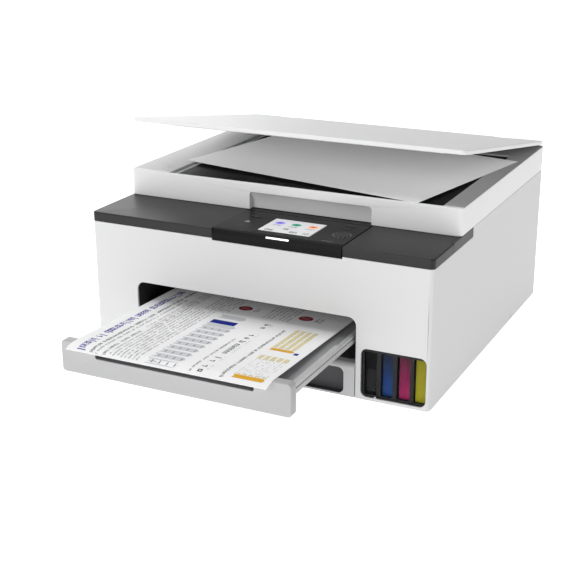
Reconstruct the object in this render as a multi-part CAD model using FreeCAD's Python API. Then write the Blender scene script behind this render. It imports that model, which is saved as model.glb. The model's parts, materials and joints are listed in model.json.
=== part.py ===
import FreeCAD, Part
import math
import os

# Inkjet printer with a flatbed scanner, a front paper cassette and refillable tanks.
# Millimetres, +Z up, +X to the right as seen from the front, -Y towards the user.
# Shapes are drawn with y = 0 at the front face of the body and z = 0 three millimetres
# above the table, and moved when saved.

# Overall body
HALF_WIDTH = 187.0
DEPTH = 373.0
CASE_BOTTOM = -1.5
SEAM_Z = 150.5
WALL = 2.5
CORNER_R = 5.0
TABLE_Z = -3.0
FOOT_TOP = -1.0
FLOOR_TOP = 2.0
BELOW = -6.0
FRONT_SHIFT = -116.5

# Front opening, ink window and black deck
OPEN_X = (-135.0, 111.0)
OPEN_TOP = 81.5
OPEN_R = 8.5
WINDOW_X = (116.5, 183.0)
WINDOW_Z = (1.7, 51.8)
WINDOW_R = 6.5
TRIM_Z = 140.5
TRIM_BACK = 114.0
SIDE_SEAM_Y = 54.0
DECK_BACK = 113.0
PANEL_X = (-44.0, 95.3)
CAP_BAY_X = (112.0, 183.5)
CAP_BAY_Y = (78.0, 135.0)

# Paper cassette and output tray
CASSETTE_TOP = 33.6
CASSETTE_FRONT_DEPTH = 12.0
BIN_X = (-128.0, 104.0)
BIN_Y = (12.0, 330.0)
BIN_Z = (6.0, 33.0)
GRIP_X = (-122.5, 98.5)
GRIP_Z = (0.7, 27.8)
GUIDE_FACES = (-117.0, 93.0)
LIP_Y = (-134.5, -124.5)
LIP_Z = (34.2, 66.0)
LIP_X = (-134.4, 108.0)
LIP_SLOT_X = (-96.0, 71.5)
LIP_SLOT_Z = (52.8, 57.6)
LIP_SLOT_R = 2.3
TRAY_X = (-119.2, 107.5)
TRAY_BACK = 120.0
TRAY_Z = (53.5, 64.0)
TRAY_TOP = 58.2
LEDGE_Z = (51.0, 53.2)
SHEET_X = (-120.0, 90.0)
SHEET_LENGTH = 297.0
SHEET_SLOPE_DEG = 2.0
SHEET_GAP = 0.3
SHEET_DROOP = [(-147.0, 63.3), (-142.0, 64.8), (-138.0, 65.7), (-134.5, 66.2)]
PAPER = 0.25

# Ink tanks: centre x, outer width, ink level, slot edges and slot top of each
TANKS = {
    "black": (125.85, 15.0, 29.0, (119.4, 132.2), 48.5),
    "cyan": (142.95, 14.6, 96.0, (136.4, 148.6), 48.5),
    "magenta": (159.85, 14.6, 90.0, (152.8, 166.2), 48.5),
    "yellow": (176.45, 14.6, 100.0, (169.8, 181.9), 48.5),
}
SLOT_BOTTOM = 4.2
TANK_Y = (5.0, 128.0)
TANK_Z = (2.4, 118.0)
TANK_WALL = 1.5
NECK_Y = 100.0
NECK_TOP = 126.0
CAP_PIVOT_Y = 112.0
CAP_PIVOT_Z = 126.6

# Print engine
FEED_Y = 225.0
EJECT_Y = 160.0
ROLLER_Z = 80.0
FEED_SHAFT_R = 4.0
EJECT_SHAFT_R = 3.0
FEED_TYRE_R = 7.0
EJECT_TYRE_R = 6.0
GEAR_X = (-160.0, -155.0)
MODULE = 1.0
FEED_TEETH = 40
IDLER_TEETH = 30
EJECT_TEETH = 30
PINION_TEETH = 12
PINION_ANGLE_DEG = -45.0
RUN_GAP = 0.3
ENGINE_X = (-154.0, 178.0)
ENGINE_Y = (142.0, 264.0)
ENGINE_Z = (69.0, 132.0)
BEARING_X = (112.0, 114.0)
SHEET_METAL = 2.0
RAIL_Y = 248.0
RAIL_Z = 115.0
RAIL_R = 5.0
CARRIAGE_X = (108.0, 168.0)
HEAD_X = ((112.0, 136.0), (140.0, 164.0))
PICKUP_Y = 292.0
PICKUP_Z = 45.5
TURN_Y = 336.0
TURN_Z = 62.0

# Rear
REAR_HOLE_X = 178.0
REAR_HOLE_Z = (12.0, 140.0)
ACCESS_X = (-125.0, 100.0)
ACCESS_Z = (42.0, 126.0)
COVER_BACK = 380.0
COVER_PIVOT = (376.0, 44.0)
INLET_X = (-176.0, -158.0)
INLET_Z = (18.0, 34.0)
USB_X = (120.0, 133.0)
USB_Z = (40.0, 52.0)
LAN_X = (120.0, 137.0)
LAN_Z = (62.0, 76.0)

# Control panel
PANEL_BOTTOM = 138.8
PANEL_TOP = 151.0
PANEL_BACK = 71.5
PANEL_PIVOT = (69.5, 146.0)
LCD_X = (-1.0, 55.0)
LCD_Y = (14.4, 56.0)
BAR_X = (15.0, 39.2)
BUTTON_TRAVEL_GAP = 0.3
POWER_BUTTON = (-23.0, 54.0, 11.0, 5.0)
STOP_BUTTON = (76.5, 63.4, 10.0, 4.6)
BLACK_BUTTON = (77.0, 53.4, 10.0, 4.6)
COLOUR_BUTTON = (81.0, 33.0, 17.0, 17.0)
BAR_BAND = (0.56, 0.84)
EAR_X = ((-40.5, -37.5), (88.8, 91.8))

# Scanner unit
SCAN_FRONT = 76.3
SCAN_Z = (150.8, 178.8)
SCAN_PIVOT = (366.0, 151.5)
RIM_THICK = 2.2
GLASS_OPEN_X = (-140.3, 166.2)
GLASS_OPEN_Y = (79.0, 307.0)
GLASS_THICK = 2.8
SCOOP_X = (-42.5, 93.5)
SCOOP_TOP = 169.5
HINGE_X = (118.0, 142.0)

# Document lid, drawn closed and turned open to its resting angle
LID_Y = (77.0, 372.0)
LID_HALF_WIDTH = 186.0
LID_Z = (180.2, 184.6)
LID_PIVOT = (370.6, 182.0)
LID_OPEN_DEG = 9.7
LID_HINGE_X = (130.0, 150.0)
PAD_BOTTOM = 179.3

# Original on the glass: centre, turn and the height it lies at
ORIGINAL_CENTRE = (15.5, 208.0)
ORIGINAL_TURN_DEG = -11.2
A4_LONG = 297.0
A4_SHORT = 210.0

X_AXIS = FreeCAD.Vector(1, 0, 0)
Y_AXIS = FreeCAD.Vector(0, 1, 0)
Z_AXIS = FreeCAD.Vector(0, 0, 1)


def vec(x, y, z):
    return FreeCAD.Vector(x, y, z)


def box(xs, ys, zs):
    return Part.makeBox(xs[1] - xs[0], ys[1] - ys[0], zs[1] - zs[0], vec(xs[0], ys[0], zs[0]))


def rod(axis, centre, radius, span):
    """Round bar along an axis; centre gives the other two coordinates in X, Y, Z order."""
    a, b = centre
    starts = {"x": vec(span[0], a, b), "y": vec(a, span[0], b), "z": vec(a, b, span[0])}
    directions = {"x": X_AXIS, "y": Y_AXIS, "z": Z_AXIS}
    return Part.makeCylinder(radius, span[1] - span[0], starts[axis], directions[axis])


def round_edges(shape, radius, axis, keep=lambda middle: True):
    """Fillet the straight edges along an axis whose middle passes the test."""
    directions = {"x": X_AXIS, "y": Y_AXIS, "z": Z_AXIS}
    chosen = []
    for edge in shape.Edges:
        if isinstance(edge.Curve, Part.Line):
            along = abs(edge.tangentAt(edge.FirstParameter).dot(directions[axis]))
            middle = edge.valueAt((edge.FirstParameter + edge.LastParameter) / 2)
            if along > 0.999 and keep(middle):
                chosen.append(edge)
    return shape.makeFillet(radius, chosen)


def rounded(xs, ys, zs, radius, axis):
    return round_edges(box(xs, ys, zs), radius, axis)


def prism_x(points, xs):
    """Closed outline of (y, z) points, extruded along X."""
    corners = [vec(xs[0], y, z) for y, z in points]
    face = Part.Face(Part.makePolygon(corners + corners[:1]))
    return face.extrude(vec(xs[1] - xs[0], 0, 0))


def ring_sector_x(centre, radii, xs):
    """Rear half of a tube whose axis runs along X."""
    ring = rod("x", centre, radii[1], xs).cut(rod("x", centre, radii[0], xs))
    reach = radii[1] + 1
    rear = box(xs, (centre[0], centre[0] + reach), (centre[1] - reach, centre[1] + reach))
    return ring.common(rear)


def grow(span, amount):
    return (span[0] - amount, span[1] + amount)


def fuse(first, *others):
    return first.multiFuse(list(others)).removeSplitter()


def turned(shape, pivot, degrees):
    """Turn about an X axis through (y, z); positive lifts the front."""
    result = shape.copy()
    result.rotate(vec(0, pivot[0], pivot[1]), X_AXIS, -degrees)
    return result


def save(node, *solids):
    shape = solids[0] if len(solids) == 1 else Part.makeCompound(list(solids))
    moved = shape.copy()
    moved.translate(vec(0, FRONT_SHIFT, -TABLE_Z))
    moved.exportStep("parts/" + node + ".step")


# ---------------------------------------------------------------- gears

def involute_point(base_radius, roll, side):
    distance = base_radius * math.hypot(1, roll)
    angle = roll - math.atan(roll)
    return distance, side * angle


def gear_outline(teeth, centre, phase_deg):
    """Outline points (y, z) of an involute spur gear, one tooth centred on the phase."""
    pitch = MODULE * teeth / 2
    base = pitch * math.cos(math.radians(20))
    tip = pitch + MODULE
    root = pitch - 1.25 * MODULE
    backlash = 0.08 / pitch
    spread = math.tan(math.radians(20)) - math.radians(20)
    half_tooth = math.pi / (2 * teeth) + spread - backlash
    roll_tip = math.sqrt((tip / base) ** 2 - 1)
    roll_low = math.sqrt(max((root + 0.2) / base, 1) ** 2 - 1)
    points = []
    for tooth in range(teeth):
        middle = math.radians(phase_deg) + 2 * math.pi * tooth / teeth
        flank = [(root, -half_tooth)]
        for step in range(5):
            roll = roll_low + (roll_tip - roll_low) * step / 4
            distance, angle = involute_point(base, roll, 1)
            flank.append((distance, angle - half_tooth))
        flank += [(distance, -angle) for distance, angle in reversed(flank)]
        for distance, angle in flank:
            y = centre[0] + distance * math.cos(middle + angle)
            z = centre[1] + distance * math.sin(middle + angle)
            points.append((y, z))
    return points


def mesh_phase(driver_teeth, driver_phase_deg, teeth, direction_deg):
    """Phase that puts a gear in mesh with its driver, seen in a given direction."""
    pitch_angle = 360 / driver_teeth
    lead = (direction_deg - driver_phase_deg) % pitch_angle
    return direction_deg + 180 + lead * driver_teeth / teeth + 180 / teeth


def gear(teeth, centre, phase_deg, bore_radius):
    wheel = prism_x(gear_outline(teeth, centre, phase_deg), GEAR_X)
    return wheel.cut(rod("x", centre, bore_radius, grow(GEAR_X, 1)))


def gear_train():
    feed_phase = 0.0
    pinion_distance = MODULE * (FEED_TEETH + PINION_TEETH) / 2
    lean = math.radians(PINION_ANGLE_DEG)
    pinion_y = FEED_Y + pinion_distance * math.cos(lean)
    pinion_z = ROLLER_Z + pinion_distance * math.sin(lean)
    idler_y = FEED_Y - MODULE * (FEED_TEETH + IDLER_TEETH) / 2
    idler_phase = mesh_phase(FEED_TEETH, feed_phase, IDLER_TEETH, 180.0)
    eject_phase = mesh_phase(IDLER_TEETH, idler_phase, EJECT_TEETH, 180.0)
    pinion_phase = mesh_phase(FEED_TEETH, feed_phase, PINION_TEETH, PINION_ANGLE_DEG)

    save("feed_gear", gear(FEED_TEETH, (FEED_Y, ROLLER_Z), feed_phase, FEED_SHAFT_R + 0.05))
    save("idler_gear", gear(IDLER_TEETH, (idler_y, ROLLER_Z), idler_phase, 2 + RUN_GAP))
    pinion = prism_x(gear_outline(PINION_TEETH, (pinion_y, pinion_z), pinion_phase), GEAR_X)
    save("motor_pinion", fuse(pinion, rod("x", (pinion_y, pinion_z), 1.5, (-161, -147))))

    eject_gear = prism_x(gear_outline(EJECT_TEETH, (EJECT_Y, ROLLER_Z), eject_phase), GEAR_X)
    eject_shaft = rod("x", (EJECT_Y, ROLLER_Z), EJECT_SHAFT_R, (-161, 115))
    save("eject_roller", fuse(eject_gear, eject_shaft, *tyres(EJECT_Y, EJECT_TYRE_R, 16)))
    return (pinion_y, pinion_z), (idler_y, ROLLER_Z)


def tyres(y, radius, width):
    starts = [-118 + 44 * index for index in range(5)]
    bars = [rod("x", (y, ROLLER_Z), radius, (x, x + width)) for x in starts]
    return [bar.makeChamfer(0.8, [e for e in bar.Edges if isinstance(e.Curve, Part.Circle)])
            for bar in bars]


# ---------------------------------------------------------------- fixed body

def outer_case():
    shell = rounded((-HALF_WIDTH, HALF_WIDTH), (0, DEPTH), (CASE_BOTTOM, SEAM_Z), CORNER_R, "z")
    inner = rounded(grow((-HALF_WIDTH, HALF_WIDTH), -WALL), (WALL, DEPTH - WALL),
                    (BELOW, SEAM_Z + 1), CORNER_R - WALL, "z")
    shell = shell.cut(inner)
    mouth = round_edges(box(OPEN_X, (-1, 4), (BELOW, OPEN_TOP)), OPEN_R, "y", lambda m: m.z > 10)
    window = rounded(WINDOW_X, (-1, 4), WINDOW_Z, WINDOW_R, "y")
    band = box((-190, 190), (-1, TRIM_BACK), (TRIM_Z, SEAM_Z + 1))
    rear = box((-REAR_HOLE_X, REAR_HOLE_X), (DEPTH - 4, DEPTH + 1), REAR_HOLE_Z)
    side_slot = box((HALF_WIDTH - 1, HALF_WIDTH + 1), (269.5, 271), (BELOW, 7))
    under_panel = box(grow(PANEL_X, 0.6), (-1, 4), (PANEL_BOTTOM - 0.4, SEAM_Z))
    for cutter in (mouth, window, band, rear, side_slot, under_panel):
        shell = shell.cut(cutter)
    save("outer_case", shell)


def bottom_case():
    plate = rounded((-184.2, 184.2), (2.8, 370.2), (FOOT_TOP, FLOOR_TOP), 3, "z")
    plate = plate.cut(box(grow(OPEN_X, 0.5), (0, CASSETTE_FRONT_DEPTH + 1), (BELOW, 8)))
    bezel = round_edges(box((114, 184.2), (2.8, 4.8), (FLOOR_TOP - 0.5, 60)), 1.9, "z",
                        lambda m: m.x > 180 and m.y < 3)
    for *_, slot, slot_top in TANKS.values():
        bezel = bezel.cut(rounded(slot, (2, 6), (SLOT_BOTTOM, slot_top), 1.5, "y"))
    ribs = [box((-184, -137), (y, y + 2), (FLOOR_TOP - 0.5, FLOOR_TOP + 2)) for y in (30, 60, 90)]
    save("bottom_case", fuse(plate, bezel, *ribs))


def rubber_feet():
    feet = []
    for x in (-165, 165):
        for y in (25, 345):
            foot = rod("z", (x, y), 9, (TABLE_Z, FOOT_TOP))
            rim = [e for e in foot.Edges if isinstance(e.Curve, Part.Circle)]
            lower = [e for e in rim if e.CenterOfMass.z < TABLE_Z + 0.1]
            feet.append(foot.makeChamfer(0.6, lower))
    save("rubber_feet", *feet)


def bay_liner():
    left_wall = box((-137, -135.2), (2.8, 142), (FLOOR_TOP, OPEN_TOP + 2))
    right_wall = box((111.2, 113), (2.8, 142), (FLOOR_TOP, OPEN_TOP + 2))
    left_low = box((-137, -135.2), (142, 256), (FLOOR_TOP, 67))
    right_low = box((111.2, 113), (142, 256), (FLOOR_TOP, 67))
    ceiling = box((-137, 113), (2.8, 142), (OPEN_TOP + 0.2, OPEN_TOP + 2))
    left_ledge = box((-136, -114), (14, 256), LEDGE_Z)
    right_ledge = box((102, 112), (14, 256), LEDGE_Z)
    save("bay_liner", fuse(left_wall, right_wall, left_low, right_low, ceiling,
                           left_ledge, right_ledge))


def rear_panel():
    panel = rounded(grow((-REAR_HOLE_X, REAR_HOLE_X), -0.2), (DEPTH - 2, DEPTH + 0.5),
                    grow(REAR_HOLE_Z, -0.2), 3, "y")
    access = rounded(ACCESS_X, (DEPTH - 3, DEPTH + 2), ACCESS_Z, 4, "y")
    panel = panel.cut(access)
    for xs, zs in ((INLET_X, INLET_Z), (USB_X, USB_Z), (LAN_X, LAN_Z)):
        panel = panel.cut(box(grow(xs, 0.3), (DEPTH - 3, DEPTH + 2), grow(zs, 0.3)))
    for x, z in screw_places():
        panel = panel.cut(rod("y", (x, z), 1.7, (DEPTH - 3, DEPTH + 2)))
    for row in range(7):
        z = 84 + 6 * row
        panel = panel.cut(rounded((118, 160), (DEPTH - 3, DEPTH + 2), (z, z + 2.4), 1.1, "y"))
    for xs in ((ACCESS_X[0] - 4.4, ACCESS_X[0] - 1.4), (ACCESS_X[1] + 1.4, ACCESS_X[1] + 4.4)):
        lug = box(xs, (DEPTH, COVER_PIVOT[0] + 2.6), (COVER_PIVOT[1] - 2.6, COVER_PIVOT[1] + 2.6))
        panel = fuse(panel, lug).cut(rod("x", COVER_PIVOT, 1.2 + RUN_GAP, grow(xs, 0.5)))
    save("rear_panel", panel)


def screw_places():
    return [(-170, 43), (-170, 133), (170, 19), (170, 133)]


def case_screws():
    screws = []
    for x, z in screw_places():
        head = rod("y", (x, z), 3.2, (DEPTH + 0.5, DEPTH + 2.2))
        slots = [box((x - 2, x + 2), (DEPTH + 1.4, DEPTH + 3), (z - 0.4, z + 0.4)),
                 box((x - 0.4, x + 0.4), (DEPTH + 1.4, DEPTH + 3), (z - 2, z + 2))]
        shank = rod("y", (x, z), 1.5, (DEPTH - 8, DEPTH + 1))
        screws.append(fuse(head, shank).cut(slots[0]).cut(slots[1]))
    save("case_screws", *screws)


def deck_plate(xs):
    """Black deck moulding: top plate with a skirt along the front and the outer side."""
    ys = (0, TRIM_BACK - 0.2)
    zs = (TRIM_Z + 0.2, SEAM_Z)
    outer_x = -HALF_WIDTH if xs[0] < 0 else HALF_WIDTH
    block = round_edges(box(xs, ys, zs), CORNER_R, "z", lambda m: m.y < 1 and abs(m.x - outer_x) < 1)
    block = round_edges(block, 1.6, "x", lambda m: m.y < 1 and m.z > SEAM_Z - 1)
    hollow_x = (xs[0] + WALL, xs[1] + 1) if xs[0] < 0 else (xs[0] - 1, xs[1] - WALL)
    hollow = round_edges(box(hollow_x, (WALL, DEPTH), (TRIM_Z - 1, SEAM_Z - 3)),
                         CORNER_R - WALL, "z", lambda m: m.y < 4 and abs(m.x - outer_x) < 4)
    return block.cut(hollow)


def decks():
    save("deck_left", deck_plate((-HALF_WIDTH, PANEL_X[0] - 0.6)))
    cap_bay = box(CAP_BAY_X, (CAP_BAY_Y[0], DEPTH), (TRIM_Z, SEAM_Z + 1))
    right = deck_plate((PANEL_X[1] + 0.6, HALF_WIDTH)).cut(cap_bay)
    strip = box((CAP_BAY_X[1], HALF_WIDTH + 1), (SIDE_SEAM_Y, TRIM_BACK), (TRIM_Z, SEAM_Z + 1))
    save("deck_right", right.cut(strip))
    cap = box((CAP_BAY_X[1] + 0.2, HALF_WIDTH), (SIDE_SEAM_Y + 0.4, TRIM_BACK - 0.2),
              (TRIM_Z + 0.2, SEAM_Z))
    groove = box((0, HALF_WIDTH - WALL), (0, DEPTH), (TRIM_Z, SEAM_Z - 3))
    save("deck_side_cap", cap.cut(groove))


def panel_well():
    """Fixed tray below the tilting panel, with the ears that carry its hinge pins."""
    floor = box((-43, 94.3), (3, 77.3), (128, 130))
    back = box((-43, 94.3), (75.3, 77.3), (130, SEAM_Z - 2))
    top = box((-44.4, 95.7), (75.3, DECK_BACK), (SEAM_Z - 3, SEAM_Z - 0.3))
    front = box((-43, 94.3), (3, 5), (130, 137.5))
    ears = []
    for xs in EAR_X:
        ears.append(box(xs, (PANEL_PIVOT[0] - 2.5, PANEL_PIVOT[0] + 2.5), (129.5, PANEL_PIVOT[1])))
        ears.append(rod("x", PANEL_PIVOT, 2.5, xs))
    well = fuse(floor, back, top, front, *ears)
    save("panel_well", well.cut(rod("x", PANEL_PIVOT, 1.5 + RUN_GAP, (-60, 110))))


def inner_cover():
    """Grey plate over the engine, with the carriage opening and the scanner's hinge pins."""
    block = round_edges(box((-184.3, 184.3), (TRIM_BACK, 370.3), (143, 149)), 3, "z",
                        lambda m: m.y > 360)
    plate = box((-184.3, 184.3), (TRIM_BACK, 370.3), (146, 149))
    plate = plate.cut(rounded((-150, 176), (142, 262), (140, 152), 6, "z"))
    plate = plate.cut(box((CAP_BAY_X[0], 183), (110, CAP_BAY_Y[1]), (140, 152)))
    skirt = box((-184.3, 184.3), (TRIM_BACK, 370.3), (143, 146))
    skirt = skirt.cut(box((-182, 182), (118, 368), (140, 147)))
    skirt = skirt.cut(box((CAP_BAY_X[0], 183), (110, CAP_BAY_Y[1]), (140, 147)))
    cover = fuse(plate, skirt).common(block)
    for side in (-1, 1):
        notch = sorted((side * (HINGE_X[0] - 3), side * (HINGE_X[1] + 3)))
        cover = cover.cut(box(notch, (358, 371), (140, 152)))
        ear_spans = [sorted((side * a, side * b)) for a, b in ((111.5, 115), (145, 148.5))]
        ears = [box(span, (362, 370.2), (146, 153.2)) for span in ear_spans]
        pin = rod("x", SCAN_PIVOT, 1.5, grow(notch, 1))
        cover = fuse(cover, pin, *ears)
    save("inner_cover", cover)


def ink_window():
    save("ink_window", rounded(grow(WINDOW_X, -0.15), (0.3, 2.5), grow(WINDOW_Z, -0.15),
                               WINDOW_R - 0.15, "y"))


# ---------------------------------------------------------------- ink system

def ink_tanks():
    tanks = []
    for colour, (centre_x, width, level, slot, slot_top) in TANKS.items():
        outer_x = (centre_x - width / 2, centre_x + width / 2)
        inner_x = grow(outer_x, -TANK_WALL)
        inner_y = grow(TANK_Y, -TANK_WALL)
        cavity = box(inner_x, inner_y, (TANK_Z[0] + TANK_WALL, TANK_Z[1] - TANK_WALL))
        neck = rod("z", (centre_x, NECK_Y), 4.5, (TANK_Z[1] - 1, NECK_TOP))
        ears = []
        for side in (-1, 1):
            span = sorted((centre_x + side * 4.4, centre_x + side * 5.9))
            ears.append(box(span, (CAP_PIVOT_Y - 2.2, CAP_PIVOT_Y + 2.2),
                            (TANK_Z[1] - 0.5, CAP_PIVOT_Z + 2.2)))
        tank = fuse(rounded(outer_x, TANK_Y, TANK_Z, 1.2, "z"), neck, *ears)
        tank = tank.cut(cavity)
        tank = tank.cut(rod("z", (centre_x, NECK_Y), 3, (TANK_Z[1] - 4, NECK_TOP + 1)))
        tank = tank.cut(rod("x", (CAP_PIVOT_Y, CAP_PIVOT_Z), 1 + RUN_GAP, grow(outer_x, 1)))
        tanks.append(tank)
        save("ink_" + colour, box(grow(inner_x, -0.05), grow(inner_y, -0.05),
                                  (TANK_Z[0] + TANK_WALL, level)))
        save("cap_" + colour, tank_cap(centre_x))
    save("ink_tanks", *tanks)


def tank_cap(centre_x):
    crown = rod("z", (centre_x, NECK_Y), 5.6, (NECK_TOP + 0.3, NECK_TOP + 5))
    top_edges = [e for e in crown.Edges if isinstance(e.Curve, Part.Circle) and e.CenterOfMass.z > 130]
    crown = crown.makeFillet(1.2, top_edges)
    plug = Part.makeCone(0.9, 2.5, 2, vec(centre_x, NECK_Y, NECK_TOP - 1.7), Z_AXIS)
    arm = box((centre_x - 2.5, centre_x + 2.5), (NECK_Y + 4, CAP_PIVOT_Y), (NECK_TOP + 0.3, NECK_TOP + 2.2))
    barrel = rod("x", (CAP_PIVOT_Y, CAP_PIVOT_Z), 1.9, (centre_x - 4.1, centre_x + 4.1))
    pin = rod("x", (CAP_PIVOT_Y, CAP_PIVOT_Z), 1, (centre_x - 5.8, centre_x + 5.8))
    tab = box((centre_x - 2.5, centre_x + 2.5), (NECK_Y - 8, NECK_Y - 4), (NECK_TOP + 2.5, NECK_TOP + 4.5))
    return fuse(crown, plug, arm, barrel, pin, tab)


# ---------------------------------------------------------------- print engine

def engine_frame(pinion_centre, idler_centre):
    left = box((ENGINE_X[0], ENGINE_X[0] + SHEET_METAL), ENGINE_Y, ENGINE_Z)
    left_foot = box((ENGINE_X[0], ENGINE_X[0] + SHEET_METAL), (226, ENGINE_Y[1]), (FLOOR_TOP, 70))
    right = box((ENGINE_X[1] - SHEET_METAL, ENGINE_X[1]), ENGINE_Y, ENGINE_Z)
    right_feet = [box((ENGINE_X[1] - SHEET_METAL, ENGINE_X[1]), ys, (FLOOR_TOP, 70))
                  for ys in ((ENGINE_Y[0], 152), (252, ENGINE_Y[1]))]
    back = box(ENGINE_X, (ENGINE_Y[1] - SHEET_METAL, ENGINE_Y[1]), ENGINE_Z)
    back = back.cut(box((-127, 105), (ENGINE_Y[1] - 4, ENGINE_Y[1] + 1), (83, 90.5)))
    front_bar = box(ENGINE_X, (ENGINE_Y[0], 151), (ENGINE_Z[0], ENGINE_Z[0] + SHEET_METAL))
    rear_bar = box(ENGINE_X, (255, ENGINE_Y[1]), (ENGINE_Z[0], ENGINE_Z[0] + SHEET_METAL))
    bearing = box(BEARING_X, (ENGINE_Y[0], ENGINE_Y[1]), (ENGINE_Z[0], 87))
    bearing = bearing.cut(box(grow(BEARING_X, 1), (176, 208), (82.5, 88)))
    frame = fuse(left, left_foot, right, back, front_bar, rear_bar, bearing, *right_feet)
    frame = frame.cut(rod("x", (FEED_Y, ROLLER_Z), FEED_SHAFT_R + RUN_GAP, (-170, 120)))
    frame = frame.cut(rod("x", (EJECT_Y, ROLLER_Z), EJECT_SHAFT_R + RUN_GAP, (-170, 120)))
    frame = frame.cut(rod("x", pinion_centre, 3, (-170, -150)))
    stub = rod("x", idler_centre, 2, (GEAR_X[0] - 1, ENGINE_X[0] + 1))
    save("engine_frame", fuse(frame, stub))


def drive_motors(pinion_centre):
    feed = rod("x", pinion_centre, 11, (-151.8, -138))
    feed = feed.cut(rod("x", pinion_centre, 1.5 + RUN_GAP, (-153, -145)))
    flange = box((-151.8, -150.3), (pinion_centre[0] - 14, pinion_centre[0] + 14),
                 (pinion_centre[1] - 4, pinion_centre[1] + 4))
    flange = flange.cut(rod("x", pinion_centre, 6, (-153, -149)))
    carriage = rod("y", (160, 120), 12, (266.2, 292))
    shaft = rod("y", (160, 120), 1.5, (264.2, 268))
    save("drive_motors", fuse(feed, flange), fuse(carriage, shaft))


def carriage_rail():
    save("carriage_rail", rod("x", (RAIL_Y, RAIL_Z), RAIL_R, (-151.8, 175.8)))


def feed_roller():
    shaft = rod("x", (FEED_Y, ROLLER_Z), FEED_SHAFT_R, (-161, 115))
    save("feed_roller", fuse(shaft, *tyres(FEED_Y, FEED_TYRE_R, 28)))


def platen():
    base = box((-130, 110), (170, 214), (73, 82))
    base = base.cut(box((-126, 106), (174, 210), (72, 79)))
    ribs = [box((x, x + 1.6), (171, 213), (81, 86)) for x in range(-124, 105, 12)]
    save("platen", fuse(base, *ribs))


def purge_unit():
    body = rounded((116, 172), (172, 222), (67, 84), 2, "z")
    wells = [box(grow(xs, -2), (180, 204), (80, 90)) for xs in HEAD_X]
    lips = []
    for xs in HEAD_X:
        ring = box(grow(xs, -0.5), (178.5, 205.5), (83, 87.4))
        lips.append(ring.cut(box(grow(xs, -2), (180, 204), (82, 90))))
    for well in wells:
        body = body.cut(well)
    wiper = box((137.3, 138.7), (182, 202), (83, 87.6))
    save("purge_unit", fuse(body, wiper, *lips))


def print_carriage():
    body = rounded(CARRIAGE_X, (170, 238), (90, 132), 3, "z")
    pocket = box(grow(CARRIAGE_X, -2.5), (172.5, 212), (92.5, 140))
    body = body.cut(pocket)
    for xs in HEAD_X:
        body = body.cut(box(grow(xs, -1.8), (180.2, 203.8), (88, 94)))
    slider = rounded(grow(CARRIAGE_X, -4), (236, 257), (104, 126), 2, "x")
    lighten = box(grow(CARRIAGE_X, -3), (215, 234), (94, 140))
    carriage = fuse(body.cut(lighten), slider)
    save("print_carriage", carriage.cut(rod("x", (RAIL_Y, RAIL_Z), RAIL_R + RUN_GAP, (90, 190))))


def print_heads():
    heads = []
    for xs in HEAD_X:
        body = rounded(xs, (174, 210), (92.6, 127), 1.5, "z")
        nozzle = box(grow(xs, -2), (180.4, 203.6), (88.4, 93.5))
        grip = box((xs[0] + 8, xs[1] - 8), (176, 182), (126, 131))
        heads.append(fuse(body, nozzle, grip))
    save("print_heads", *heads)


def paper_turn_guide():
    outer = ring_sector_x((TURN_Y, TURN_Z), (29, 31), ACCESS_X)
    inner = ring_sector_x((TURN_Y, TURN_Z), (22, 24), ACCESS_X)
    cheeks = [ring_sector_x((TURN_Y, TURN_Z), (22, 31), xs)
              for xs in ((ACCESS_X[0], ACCESS_X[0] + 3), (ACCESS_X[1] - 3, ACCESS_X[1]))]
    top = box(ACCESS_X, (266, TURN_Y + 0.5), (TURN_Z + 29, TURN_Z + 31))
    ears = [box(xs, (286, TURN_Y + 4), (39, 52)) for xs in ((-53, -50), (26, 29))]
    guide = fuse(outer, inner, top, *cheeks, *ears)
    save("paper_turn_guide", guide.cut(rod("x", (PICKUP_Y, PICKUP_Z), 3 + RUN_GAP, (-60, 40))))


def pickup_roller():
    shaft = rod("x", (PICKUP_Y, PICKUP_Z), 3, (-56, 32))
    wheels = [rod("x", (PICKUP_Y, PICKUP_Z), 9, xs) for xs in ((-40, -20), (-4, 16))]
    save("pickup_roller", fuse(shaft, *wheels))


def power_supply():
    can = rounded((-183, -157), (100, 352), (FLOOR_TOP + 0.2, 50), 2, "y")
    socket = rounded(INLET_X, (350, DEPTH + 0.5), INLET_Z, 4, "y")
    recess = rounded(grow(INLET_X, -2), (361, DEPTH + 2), grow(INLET_Z, -2), 3, "y")
    middle_x = (INLET_X[0] + INLET_X[1]) / 2
    middle_z = (INLET_Z[0] + INLET_Z[1]) / 2
    supply = fuse(can, socket).cut(recess)
    pins = [rod("y", (middle_x + shift, middle_z), 1.2, (360, 367)) for shift in (-3.5, 3.5)]
    save("power_supply", fuse(supply, *pins))


def main_board():
    board = box((106, 182), (352, 353.6), (15, 135))
    places = (((120, 142), (86, 108)), ((150, 160), (86, 100)),
              ((150, 174), (40, 52)), ((112, 118), (30, 70)))
    chips = [box(xs, (349, 352.3), zs) for xs, zs in places]
    usb = box(USB_X, (353.5, DEPTH + 0.3), USB_Z)
    usb = usb.cut(box(grow(USB_X, -2), (362, DEPTH + 2), grow(USB_Z, -2)))
    lan = box(LAN_X, (353.5, DEPTH + 0.3), LAN_Z)
    lan = lan.cut(box(grow(LAN_X, -2), (360, DEPTH + 2), grow(LAN_Z, -2)))
    save("main_board", fuse(board, usb, lan, *chips))


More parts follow.
